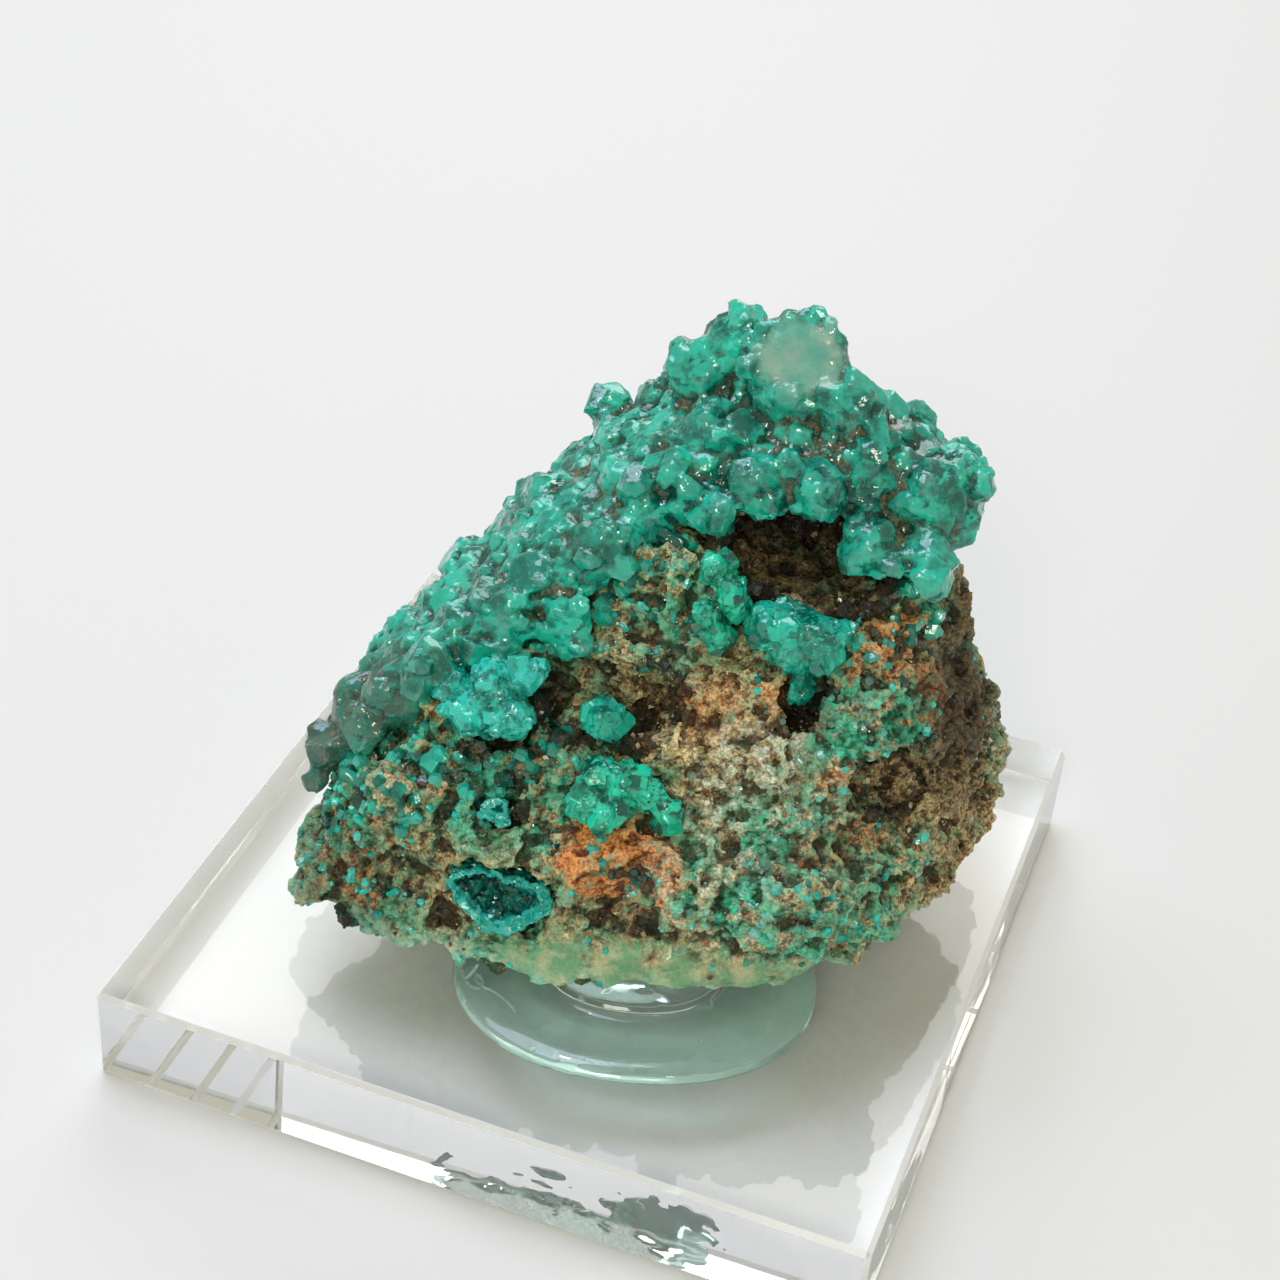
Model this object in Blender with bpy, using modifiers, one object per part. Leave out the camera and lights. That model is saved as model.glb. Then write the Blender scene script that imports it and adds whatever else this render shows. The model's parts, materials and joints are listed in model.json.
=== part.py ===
"""A dioptase specimen on a small clear slab.

A wedge of brown, crumbly matrix carries a crust of grown-together green crystals over its
crest, back and left flank, and a few clusters of their own on its front face. The rock
stands in a puddle of clear gel on a square, polished, clear slab.

The origin is the middle of the slab's underside. +X runs along the slab's front edge,
+Y goes back, and +Z is up.
"""

import math
import random

import bmesh
import bpy
from mathutils import Matrix, Vector, noise

MM = 0.001

# Driving dimensions, in millimetres.
SLAB_SIDE = 40.0
SLAB_HEIGHT = 5.5
SLAB_EDGE_BREAK = 0.25
GAP = 0.3

# The gel puddle: its middle, and how far its outline waves in and out.
GEL_CENTRE = (3.5, -6.5)
GEL_WAVE = 0.05
GEL_WAVES = 3
GEL_WAVE_START = math.radians(228.0)
GEL_STEPS = 28
# The puddle's section, outside and downwards: radius and height above its underside.
GEL_PROFILE = [
    (0.0, 3.4), (5.4, 3.3), (6.4, 2.8), (6.9, 2.0), (7.4, 1.3), (8.0, 1.0), (8.5, 1.05),
    (8.85, 0.85), (9.0, 0.45), (8.85, 0.1), (8.6, 0.0), (0.0, 0.0),
]

# The rock's main corners, from its foot up to its crest.
ROCK_FOOT = [
    (-13.2, -12.9, 7.4), (-10.2, -13.4, 6.9), (-6.6, -12.9, 7.3), (-3.0, -12.5, 7.4),
    (0.6, -12.2, 7.6), (4.4, -11.5, 7.6), (8.2, -10.2, 7.8), (11.8, -8.4, 8.2),
    (14.9, -5.4, 8.5), (16.9, -0.6, 8.6), (18.0, 4.6, 8.9), (18.8, 8.8, 9.8),
    (15.4, 13.8, 9.6), (9.4, 15.8, 9.0), (1.4, 15.0, 8.8), (-6.4, 10.8, 8.8),
    (-11.8, 4.0, 8.8), (-14.2, -4.6, 9.0), (-14.6, -9.6, 9.4), (3.4, -3.4, 7.0),
]
ROCK_FACE = [
    (-11.6, -10.6, 13.2), (-7.4, -10.1, 15.2), (-3.0, -10.7, 13.6), (0.6, -10.7, 12.8),
    (5.4, -10.1, 12.0), (11.6, -7.9, 11.6), (15.6, -4.0, 12.8), (17.0, 1.4, 13.8),
    (-10.0, -6.2, 17.6), (-6.5, -4.6, 20.8), (-2.9, -1.8, 23.4), (2.4, 1.0, 25.8),
    (8.0, 2.6, 26.0), (12.3, 2.8, 24.8), (13.7, -2.2, 18.4),
]
ROCK_FLANKS = [
    (-13.6, -6.4, 12.8), (-11.2, -0.8, 15.2), (-9.6, 3.8, 18.2), (-7.5, 6.6, 21.2),
    (-4.6, 8.6, 25.0), (-0.2, 9.2, 29.4), (3.4, 8.2, 31.8), (7.0, 8.4, 31.0),
    (10.6, 8.0, 28.8), (13.4, 7.6, 28.0), (14.2, 9.0, 24.2), (15.4, 9.4, 19.4),
    (18.0, 8.8, 14.0),
]
ROCK_BACK = [
    (-8.0, 9.0, 14.6), (-2.0, 13.2, 17.6), (4.6, 12.8, 26.0), (9.4, 12.4, 25.2),
    (6.8, 15.4, 15.6), (13.6, 13.2, 14.6),
]
ROCK_GRAIN = 1.3
ROCK_TRIANGLES = 2000
ROCK_BUMPS = [(4.2, 0.75), (1.9, 0.4)]

# Lumps that stand proud of the face: centre and the half sizes along X, Y and Z.
ROCK_LUMPS = [
    ((1.6, 0.2, 24.9), (2.0, 1.8, 2.6)),
    ((6.2, -1.9, 20.9), (2.5, 2.0, 1.9)),
    ((3.7, -3.6, 18.2), (2.4, 2.0, 1.8)),
    ((8.6, -3.6, 17.6), (2.4, 2.2, 3.2)),
    ((11.8, 0.6, 21.6), (2.3, 2.4, 2.6)),
    ((13.9, 7.8, 21.6), (1.7, 2.0, 1.9)),
    ((14.9, 8.6, 17.4), (1.6, 2.0, 1.6)),
    ((9.6, -6.9, 12.6), (4.6, 2.6, 2.6)),
    ((2.4, -9.2, 13.4), (4.4, 2.0, 2.0)),
    ((-8.6, -9.4, 14.4), (2.6, 2.4, 2.6)),
]

# Hollows in the face: centre, half sizes and the turn about X in degrees.
POCKET = ((-2.2, -11.3, 11.5), (2.9, 2.4, 1.9), -8.0)
VUG = ((-3.2, -9.7, 15.2), (1.2, 1.3, 0.9), -10.0)
# The pocket and the vug are three-cornered: how far the corners reach out, and where one is.
CORNERED = {"pocket_hollow": (0.20, math.radians(28.0)), "vug_hollow": (0.22, math.radians(70.0))}
ROCK_HOLLOWS = {
    "mouth": ((7.2, 3.8, 25.7), (4.6, 4.4, 2.2), -14.0),
    "middle_hollow": ((-0.4, -4.4, 19.8), (4.6, 2.0, 2.2), -30.0),
    "left_pit": ((-4.4, -6.2, 17.8), (1.7, 2.4, 1.3), -20.0),
    "right_recess": ((15.3, -1.4, 17.4), (3.9, 3.0, 1.8), -16.0),
    "boulder_slot": ((9.1, -1.1, 20.5), (1.0, 2.0, 2.2), 20.0),
    "flank_notch": ((15.8, 7.6, 24.2), (1.8, 3.0, 1.9), 0.0),
    "pocket_hollow": POCKET,
    "vug_hollow": VUG,
}
# How lumps and hollows are crumpled: how far and on what grain.
LUMP_CRUMPLE = (0.5, 2.0)
HOLLOW_CRUMPLE = (0.45, 2.2)

# The face leans back: the way it looks, and where its foot and its slope lie along Y.
FACE_NORMAL = (0.24, -0.76, 0.60)
FACE_FOOT = (-11.6, 8.5)
FACE_SLOPE = 0.75

# The crust: its thickness, and the height of its lower border, first along the front.
CRUST_THICKNESS = 1.9
CRUST_EDGE_FADE = 1.6
CRUST_SINK = 1.3
CRUST_BORDER = [
    (-15.0, 9.0), (-13.0, 11.0), (-11.6, 14.2), (-10.0, 16.4), (-8.0, 17.9), (-5.5, 19.7),
    (-3.5, 21.3), (-1.5, 23.0), (0.5, 25.2), (3.0, 27.0), (8.0, 27.4), (11.0, 26.4),
    (13.5, 25.2), (18.0, 25.0),
]
CRUST_BORDER_BEHIND = 13.5
CRUST_TURNS_BEHIND = (4.0, 9.0)
# The right flank stays bare: from here to here along X, and how far back it is bare.
RIGHT_FLANK_BARE = (10.0, 13.0, 14.0)
# The border and the skin wander a little: depth and two wave numbers, or grain and share.
BORDER_WAVES = [(0.45, 0.9, 0.7), (0.30, 1.7, -1.1)]
CRUST_SWELL = (2.4, 0.35)

# Crystals are six-sided prisms under a three-faced point.
POINT_SLOPE = math.radians(44.0)
# How a crystal's foot turns it about its own length, per millimetre of X and of Z.
CRYSTAL_TWIST = (1.7, 0.9)
CREST_CRYSTALS = [
    ((4.4, 8.2, 30.6), (0.05, -0.35, 1.0), 2.5, 7.2),
    ((1.9, 8.8, 30.6), (-0.2, -0.2, 1.0), 1.5, 4.9),
    ((0.0, 8.6, 29.2), (-0.1, -0.3, 1.0), 1.8, 4.8),
    ((6.7, 7.8, 30.4), (0.25, -0.5, 1.0), 1.8, 4.2),
    ((8.9, 7.2, 28.2), (0.05, -0.75, 1.0), 2.1, 4.2),
    ((11.4, 7.2, 27.2), (0.2, -0.55, 1.0), 2.0, 4.2),
    ((12.9, 7.9, 27.6), (0.2, -0.2, 1.0), 1.7, 3.9),
    ((12.5, 5.0, 26.0), (0.35, -0.9, 0.8), 1.5, 3.0),
    ((10.2, 4.4, 26.2), (0.1, -1.0, 0.7), 1.7, 3.0),
    ((4.8, 4.8, 28.2), (-0.15, -0.9, 0.9), 2.0, 3.4),
    ((7.2, 4.8, 28.2), (0.1, -0.9, 0.8), 1.4, 3.2),
    ((0.8, 4.2, 27.2), (-0.2, -0.9, 1.0), 2.0, 3.4),
    ((-1.6, 3.8, 26.4), (-0.4, -0.9, 0.9), 1.8, 3.3),
    ((-3.9, 8.8, 24.0), (-0.4, 0.1, 1.0), 1.1, 5.0),
    ((-2.2, 8.8, 26.2), (-0.3, -0.1, 1.0), 1.2, 3.8),
    ((-1.2, 8.8, 27.6), (-0.3, -0.1, 1.0), 1.2, 3.2),
    ((-3.4, 5.4, 23.8), (-0.4, -0.7, 1.0), 1.6, 3.0),
    ((-7.2, 6.6, 20.6), (-0.45, -0.3, 1.0), 2.1, 3.6),
    ((-5.4, 7.6, 22.6), (-0.35, -0.1, 1.0), 1.5, 3.6),
    ((-5.6, 4.2, 21.4), (-0.5, -0.7, 0.9), 1.6, 2.8),
    ((-9.0, 3.6, 18.4), (-0.55, -0.4, 0.9), 2.2, 3.4),
    ((-10.2, 1.2, 16.4), (-0.6, -0.5, 0.9), 1.7, 2.5),
    ((-11.6, -1.8, 14.6), (-0.8, -0.4, 0.9), 1.2, 2.1),
    ((-6.6, -2.6, 21.2), (-0.4, -0.9, 0.7), 1.4, 2.4),
    ((-8.8, -3.4, 19.0), (-0.6, -0.8, 0.7), 1.5, 2.4),
    ((-3.0, 0.6, 24.0), (-0.1, -0.9, 0.8), 1.4, 2.7),
    ((2.6, 2.8, 26.9), (0.0, -0.9, 0.7), 1.2, 2.7),
    ((-5.2, -4.2, 20.2), (-0.2, -0.9, 0.6), 1.5, 2.2),
    ((-2.6, -2.6, 21.8), (0.1, -0.9, 0.5), 1.3, 2.2),
]
# The crest's large pale face: a point on its plane and the way it looks.
CLEAVAGE = ((4.9, 6.5, 34.2), (0.10, -0.62, 0.78))
CLEAVAGE_REACH = 5.0
# Between them stand scattered crystals, set a distance apart and leaning at random.
SCATTERED_CRYSTALS = 48
SCATTERED_SPACING = 2.2
SCATTERED_RADIUS = (0.7, 1.9)
SCATTERED_LENGTH = (2.2, 2.9)
SCATTERED_LENGTH_PER_RADIUS = 0.3
SCATTERED_LEAN = 0.6
SCATTERED_LIFT = Vector((0.0, 0.0, 0.15))
SCATTER_TRIES = 4000
SCATTER_SEED = 7
BARE_MARGIN = 0.3
FLANKS = (-11.6, 12.6)
FLANK_CRYSTALS_FROM = 25.0
NOISE_SEED = 5
# How far a seed moves the noise field, and how near a cut counts as a touch, in metres.
NOISE_STEP = Vector((1.0, 0.37, -0.61))
CUT_TOLERANCE = 1e-7
MERGE_DISTANCE = 0.00005

# The clusters that grow apart from the crust, crystal by crystal: foot, way, radius, length.
CLUSTERS = {
    "left_knob_cluster": [
        ((-5.3, -5.6, 17.9), (-0.3, -0.9, 0.6), 1.3, 3.2),
        ((-4.2, -5.6, 18.4), (0.3, -0.9, 0.5), 1.1, 3.2),
        ((-4.9, -5.3, 19.4), (-0.1, -0.8, 0.9), 1.2, 2.8),
        ((-4.0, -5.0, 20.2), (0.4, -0.8, 0.8), 0.8, 2.4),
        ((-6.0, -5.4, 18.9), (-0.7, -0.8, 0.5), 0.9, 2.6),
    ],
    "centre_knob_crystal": [
        ((0.4, -3.4, 16.9), (-0.1, -0.75, 1.0), 0.7, 3.0),
        ((0.2, -4.3, 18.2), (0.0, -0.8, 0.9), 1.15, 2.2),
    ],
    "emerald_cluster": [
        ((1.2, -6.1, 16.5), (-0.3, -0.9, 0.8), 1.0, 2.3),
        ((2.2, -6.1, 16.3), (0.0, -0.9, 0.7), 1.2, 2.5),
        ((3.4, -6.0, 15.9), (0.2, -0.9, 0.8), 1.1, 2.3),
        ((4.5, -6.0, 15.5), (0.3, -0.9, 0.7), 0.9, 2.1),
        ((1.8, -7.0, 15.4), (0.0, -1.0, 0.5), 1.1, 2.3),
        ((0.7, -6.9, 15.4), (-0.2, -1.0, 0.5), 1.0, 2.2),
    ],
    "blade_crystals": [
        ((4.4, 0.6, 24.4), (-0.15, -0.8, 1.0), 0.65, 4.0),
        ((4.7, 0.4, 23.8), (0.10, -0.85, 0.8), 0.7, 3.8),
        ((4.2, 0.2, 23.2), (-0.1, -0.95, 0.6), 0.65, 3.4),
        ((4.6, 0.0, 22.6), (0.05, -1.0, 0.4), 0.6, 3.0),
    ],
    "right_knob_crystal": [
        ((7.9, 1.0, 22.2), (0.0, -0.8, 0.8), 2.0, 3.4),
        ((9.0, 1.0, 22.4), (0.35, -0.8, 0.7), 1.5, 3.2),
        ((7.2, 0.6, 22.6), (-0.3, -0.8, 0.8), 1.2, 3.0),
        ((7.8, 0.4, 21.0), (0.0, -1.0, 0.2), 1.4, 2.6),
    ],
}

# The crusts that line the two small hollows: hollow, wall and how far the rim stands proud.
HOLLOW_CRUSTS = {
    "rimmed_pocket": (POCKET, 0.6, 0.5),
    "rimmed_vug": (VUG, 0.35, 0.4),
}

# Colour and roughness of each piece.
FINISHES = {
    "acrylic_base": ((0.94, 0.96, 0.97, 1.0), 0.05),
    "mounting_gel": ((0.80, 0.87, 0.86, 1.0), 0.15),
    "matrix_rock": ((0.23, 0.15, 0.08, 1.0), 0.90),
    "crystal_crust": ((0.02, 0.32, 0.25, 1.0), 0.20),
    "left_knob_cluster": ((0.03, 0.42, 0.36, 1.0), 0.25),
    "centre_knob_crystal": ((0.03, 0.33, 0.26, 1.0), 0.15),
    "emerald_cluster": ((0.00, 0.33, 0.20, 1.0), 0.15),
    "right_knob_crystal": ((0.01, 0.38, 0.30, 1.0), 0.20),
    "blade_crystals": ((0.02, 0.26, 0.14, 1.0), 0.25),
    "rimmed_pocket": ((0.01, 0.36, 0.33, 1.0), 0.30),
    "rimmed_vug": ((0.02, 0.40, 0.35, 1.0), 0.30),
}


def clear_scene():
    for obj in list(bpy.data.objects):
        bpy.data.objects.remove(obj, do_unlink=True)


def new_collection(name):
    collection = bpy.data.collections.new(name)
    bpy.context.scene.collection.children.link(collection)
    return collection


def new_object(name, bm, collection):
    """Turn a bmesh into an object in the given collection."""
    bmesh.ops.recalc_face_normals(bm, faces=bm.faces)
    mesh = bpy.data.meshes.new(name)
    bm.to_mesh(mesh)
    bm.free()
    obj = bpy.data.objects.new(name, mesh)
    collection.objects.link(obj)
    return obj


def make_cutter(obj):
    obj.hide_render = True
    obj.display_type = "WIRE"
    return obj


def add_material(obj):
    """Give a piece its own colour and roughness."""
    colour, roughness = FINISHES[obj.name]
    material = bpy.data.materials.new(obj.name)
    material.use_nodes = True
    shader = material.node_tree.nodes["Principled BSDF"]
    shader.inputs["Base Color"].default_value = colour
    shader.inputs["Roughness"].default_value = roughness
    shader.inputs["Metallic"].default_value = 0.0
    obj.data.materials.clear()
    obj.data.materials.append(material)


def bake(obj):
    """Apply an object's modifiers to its mesh."""
    depsgraph = bpy.context.evaluated_depsgraph_get()
    mesh = bpy.data.meshes.new_from_object(obj.evaluated_get(depsgraph))
    obj.modifiers.clear()
    obj.data = mesh


def boolean(obj, other, operation, solver="EXACT"):
    """Join another solid to obj, or cut it from obj."""
    modifier = obj.modifiers.new(operation.lower(), "BOOLEAN")
    modifier.operation = operation
    modifier.object = other
    modifier.solver = solver
    bake(obj)


def grown(obj, distance, collection):
    """A copy of a solid with its skin moved outwards, to cut neighbours with a gap."""
    mesh = obj.data.copy()
    copy = bpy.data.objects.new(obj.name + "_clearance", mesh)
    collection.objects.link(copy)
    normals = [vertex.normal.copy() for vertex in mesh.vertices]
    for vertex, normal in zip(mesh.vertices, normals):
        vertex.co += normal * distance * MM
    return make_cutter(copy)


def sheath(obj, distance, collection):
    """The hull of a cluster, grown a little, to keep its neighbours off it."""
    bm = bmesh.new()
    bm.from_mesh(obj.data)
    hull = bmesh.ops.convex_hull(bm, input=bm.verts)
    inner = set(hull["geom_interior"]) | set(hull["geom_unused"])
    spare = [item for item in inner if isinstance(item, bmesh.types.BMVert)]
    bmesh.ops.delete(bm, geom=spare, context="VERTS")
    hull_faces = {item for item in hull["geom"] if isinstance(item, bmesh.types.BMFace)}
    spare_faces = [face for face in bm.faces if face not in hull_faces]
    bmesh.ops.delete(bm, geom=spare_faces, context="FACES")
    bmesh.ops.recalc_face_normals(bm, faces=bm.faces)
    bm.normal_update()
    for vertex, normal in [(v, v.normal.copy()) for v in bm.verts]:
        vertex.co += normal * distance * MM
    return make_cutter(new_object(obj.name + "_sheath", bm, collection))


def keep_largest_body(obj):
    """Drop chips that a cut has left beside the main body."""
    bm = bmesh.new()
    bm.from_mesh(obj.data)
    unseen = set(bm.verts)
    bodies = []
    while unseen:
        body = {unseen.pop()}
        front = list(body)
        while front:
            vertex = front.pop()
            for edge in vertex.link_edges:
                other = edge.other_vert(vertex)
                if other in unseen:
                    unseen.remove(other)
                    body.add(other)
                    front.append(other)
        bodies.append(body)
    bodies.sort(key=len)
    for chip in bodies[:-1]:
        bmesh.ops.delete(bm, geom=list(chip), context="VERTS")
    bm.to_mesh(obj.data)
    bm.free()


def add_ball(bm, centre, half_sizes, tilt_degrees=0.0, corners=(0.0, 0.0), subdivisions=2):
    """Add a squashed ball to a bmesh, drawn out to three corners seen along Y."""
    ball = bmesh.ops.create_icosphere(bm, subdivisions=subdivisions, radius=1.0)
    reach, start = corners
    for vertex in ball["verts"]:
        angle = math.atan2(vertex.co.z, vertex.co.x)
        share = 1.0 + reach * math.cos(3.0 * (angle - start))
        vertex.co.x *= share
        vertex.co.z *= share
    sizes = Matrix.Diagonal((*(size * MM for size in half_sizes), 1.0))
    tip = Matrix.Rotation(math.radians(tilt_degrees), 4, "X")
    place = Matrix.Translation(Vector(centre) * MM)
    bmesh.ops.transform(bm, matrix=place @ tip @ sizes, verts=ball["verts"])
    return ball["verts"]


def crumple(vertices, amount, scale, seed):
    """Push vertices about by smooth noise, so that no ball stays round."""
    for vertex in vertices:
        place = vertex.co / (scale * MM) + NOISE_STEP * seed
        vertex.co += noise.noise_vector(place) * amount * MM


def ease(value, low, high):
    """0 below low, 1 above high, and a smooth rise between them."""
    share = min(max((value - low) / (high - low), 0.0), 1.0)
    return share * share * (3.0 - 2.0 * share)


def along(table, x):
    """Read a height off a list of (x, height) points."""
    for (x0, h0), (x1, h1) in zip(table, table[1:]):
        if x <= x1:
            return h0 + (h1 - h0) * max(x - x0, 0.0) / (x1 - x0)
    return table[-1][1]


def height_over_border(point):
    """How far a point, in millimetres, lies above the crust's lower border."""
    x, y, z = point
    face_y = FACE_FOOT[0] + FACE_SLOPE * (z - FACE_FOOT[1])
    bare_from, bare_to, bare_by = RIGHT_FLANK_BARE
    behind = y - face_y - bare_by * ease(x, bare_from, bare_to)
    share = ease(behind, *CRUST_TURNS_BEHIND)
    wave = sum(depth * math.sin(along_x * x + along_y * y) for depth, along_x, along_y in BORDER_WAVES)
    border = along(CRUST_BORDER, x) * (1.0 - share) + CRUST_BORDER_BEHIND * share
    return z - border - wave


def build_slab(collection):
    """The polished slab, its edges just broken."""
    bm = bmesh.new()
    bmesh.ops.create_cube(bm, size=1.0)
    sizes = Matrix.Diagonal((SLAB_SIDE * MM, SLAB_SIDE * MM, SLAB_HEIGHT * MM, 1.0))
    lift = Matrix.Translation((0.0, 0.0, SLAB_HEIGHT * MM / 2))
    bmesh.ops.transform(bm, matrix=lift @ sizes, verts=bm.verts)
    slab = new_object("acrylic_base", bm, collection)
    bevel = slab.modifiers.new("broken_edges", "BEVEL")
    bevel.width = SLAB_EDGE_BREAK * MM
    bevel.segments = 1
    return slab


def build_raw_rock(collection):
    """The rock before its hollows: a hull of the main corners with lumps on the face."""
    bm = bmesh.new()
    corners = ROCK_FOOT + ROCK_FACE + ROCK_FLANKS + ROCK_BACK
    for corner in corners:
        bm.verts.new(Vector(corner) * MM)
    hull = bmesh.ops.convex_hull(bm, input=bm.verts)
    inner = [item for item in hull["geom_interior"] if isinstance(item, bmesh.types.BMVert)]
    bmesh.ops.delete(bm, geom=inner, context="VERTS")
    for centre, half_sizes in ROCK_LUMPS:
        crumple(add_ball(bm, centre, half_sizes), *LUMP_CRUMPLE, centre[0])
    rock = new_object("matrix_rock", bm, collection)
    grain = rock.modifiers.new("grain", "REMESH")
    grain.mode = "VOXEL"
    grain.voxel_size = ROCK_GRAIN * MM
    bake(rock)
    for scale, amount in ROCK_BUMPS:
        normals = [vertex.normal.copy() for vertex in rock.data.vertices]
        for vertex, normal in zip(rock.data.vertices, normals):
            bump = noise.noise(vertex.co / (scale * MM))
            vertex.co += normal * bump * amount * MM
    thin = rock.modifiers.new("thin", "DECIMATE")
    thin.ratio = ROCK_TRIANGLES / (2 * len(rock.data.polygons))
    bake(rock)
    return rock


def cut_hollows(rock, cutters):
    for seed, (name, hollow) in enumerate(ROCK_HOLLOWS.items()):
        bm = bmesh.new()
        corners = CORNERED.get(name, (0.0, 0.0))
        crumple(add_ball(bm, *hollow, corners), *HOLLOW_CRUMPLE, seed)
        cutter = make_cutter(new_object(name, bm, cutters))
        boolean(rock, cutter, "DIFFERENCE")
    keep_largest_body(rock)


def new_crystal(name, crystal, collection):
    """One prism with a three-faced point: foot, way, radius and length in millimetres."""
    foot, way, radius, length = crystal
    bm = bmesh.new()
    bmesh.ops.create_cone(
        bm, cap_ends=True, segments=6, radius1=radius * MM, radius2=radius * MM,
        depth=length * MM,
    )
    apex = Vector((0.0, 0.0, length * MM / 2))
    for side in range(3):
        turn = math.radians(120.0 * side)
        lean = Vector((math.cos(turn), math.sin(turn), 0.0)) * math.sin(POINT_SLOPE)
        normal = lean + Vector((0.0, 0.0, math.cos(POINT_SLOPE)))
        cut = bmesh.ops.bisect_plane(
            bm, geom=bm.verts[:] + bm.edges[:] + bm.faces[:], plane_co=apex,
            plane_no=normal, clear_outer=True, dist=CUT_TOLERANCE,
        )
        edges = [item for item in cut["geom_cut"] if isinstance(item, bmesh.types.BMEdge)]
        bmesh.ops.edgeloop_fill(bm, edges=edges)
    way = Vector(way).normalized()
    lift = Matrix.Translation(Vector((0.0, 0.0, length * MM / 2)))
    turn = way.to_track_quat("Z", "X").to_matrix().to_4x4()
    twist = Matrix.Rotation(foot[0] * CRYSTAL_TWIST[0] + foot[2] * CRYSTAL_TWIST[1], 4, "Z")
    place = Matrix.Translation(Vector(foot) * MM)
    bmesh.ops.transform(bm, matrix=place @ turn @ twist @ lift, verts=bm.verts)
    return new_object(name, bm, collection)


def takes_crystals(point):
    """The crust bears crystals well above its border, but for the two steep flanks."""
    on_flank = point.z < FLANK_CRYSTALS_FROM and not FLANKS[0] < point.x < FLANKS[1]
    return height_over_border(point) > BARE_MARGIN and not on_flank


def scattered_crystals(rock):
    """Crystals strewn over the crusted part of the rock, a set distance apart."""
    draw = random.Random(SCATTER_SEED)
    faces = [face for face in rock.data.polygons if takes_crystals(face.center / MM)]
    areas = [face.area for face in faces]
    places = [Vector(foot) for foot, _, _, _ in CREST_CRYSTALS]
    crystals = []
    tries = 0
    while len(crystals) < SCATTERED_CRYSTALS and tries < SCATTER_TRIES:
        tries += 1
        face = draw.choices(faces, areas)[0]
        foot = face.center / MM
        if min((foot - place).length for place in places) < SCATTERED_SPACING:
            continue
        places.append(foot.copy())
        lean = Vector([draw.uniform(-SCATTERED_LEAN, SCATTERED_LEAN) for _ in range(3)])
        way = face.normal + lean + SCATTERED_LIFT
        radius = draw.uniform(*SCATTERED_RADIUS)
        length = draw.uniform(*SCATTERED_LENGTH) + SCATTERED_LENGTH_PER_RADIUS * radius
        crystals.append((foot, way, radius, length))
    return crystals


def grow_crystals(host, crystals, cutters):
    """Join crystals to a solid one by one, so that all of them are one body."""
    for crystal in crystals:
        prism = new_crystal("prism", crystal, cutters)
        boolean(host, prism, "UNION", "MANIFOLD")
        bpy.data.objects.remove(prism, do_unlink=True)


def cleave(crust, cutters):
    """Break the crest off along one plane, which leaves its large flat face."""
    point, way = CLEAVAGE
    bm = bmesh.new()
    bmesh.ops.create_cube(bm, size=2.0 * CLEAVAGE_REACH * MM)
    lift = Matrix.Translation((0.0, 0.0, CLEAVAGE_REACH * MM))
    turn = Vector(way).to_track_quat("Z", "X").to_matrix().to_4x4()
    place = Matrix.Translation(Vector(point) * MM)
    bmesh.ops.transform(bm, matrix=place @ turn @ lift, verts=bm.verts)
    broken_off = make_cutter(new_object("broken_off", bm, cutters))
    boolean(crust, broken_off, "DIFFERENCE", "MANIFOLD")


def build_crust(rock, clearance, collection, cutters):
    """The crust: a skin over the upper rock with prisms standing in it."""
    skin = bpy.data.objects.new("crystal_crust", rock.data.copy())
    collection.objects.link(skin)
    swell_grain, swell_share = CRUST_SWELL
    normals = [vertex.normal.copy() for vertex in skin.data.vertices]
    for vertex, normal in zip(skin.data.vertices, normals):
        over = ease(height_over_border(vertex.co / MM), 0.0, CRUST_EDGE_FADE)
        swell = 1.0 + swell_share * noise.noise(vertex.co / (swell_grain * MM))
        depth = over * CRUST_THICKNESS * swell - (1.0 - over) * CRUST_SINK
        vertex.co += normal * depth * MM
    grow_crystals(skin, CREST_CRYSTALS + scattered_crystals(rock), cutters)
    cleave(skin, cutters)
    boolean(skin, clearance, "DIFFERENCE", "MANIFOLD")
    keep_largest_body(skin)
    return skin


def build_cluster(name, crystals, collection, cutters):
    """Crystals grown together into one solid."""
    cluster = new_crystal(name, crystals[0], collection)
    grow_crystals(cluster, crystals[1:], cutters)
    return cluster


def build_hollow_crust(name, hollow, wall, proud, collection, cutters):
    """The thin bowl of crystals that lines a small hollow, its rim just proud."""
    centre, half_sizes, tilt = hollow
    seed = list(ROCK_HOLLOWS.values()).index(hollow)
    corners = CORNERED[list(ROCK_HOLLOWS)[seed]]
    out = Vector(FACE_NORMAL).normalized()
    bm = bmesh.new()
    outer = [size - GAP for size in half_sizes]
    crumple(add_ball(bm, centre, outer, tilt, corners), *HOLLOW_CRUMPLE, seed)
    rim = (Vector(centre) + out * proud) * MM
    cut = bmesh.ops.bisect_plane(
        bm, geom=bm.verts[:] + bm.edges[:] + bm.faces[:], plane_co=rim, plane_no=out,
        clear_outer=True, dist=CUT_TOLERANCE,
    )
    edges = [item for item in cut["geom_cut"] if isinstance(item, bmesh.types.BMEdge)]
    bmesh.ops.edgeloop_fill(bm, edges=edges)
    bowl = new_object(name, bm, collection)
    bm = bmesh.new()
    inside = [size - GAP - wall for size in half_sizes]
    shifted = Vector(centre) + out * wall
    crumple(add_ball(bm, shifted, inside, tilt, corners), *HOLLOW_CRUMPLE, seed)
    room = make_cutter(new_object(name + "_room", bm, cutters))
    boolean(bowl, room, "DIFFERENCE")
    keep_largest_body(bowl)
    return bowl


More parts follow.
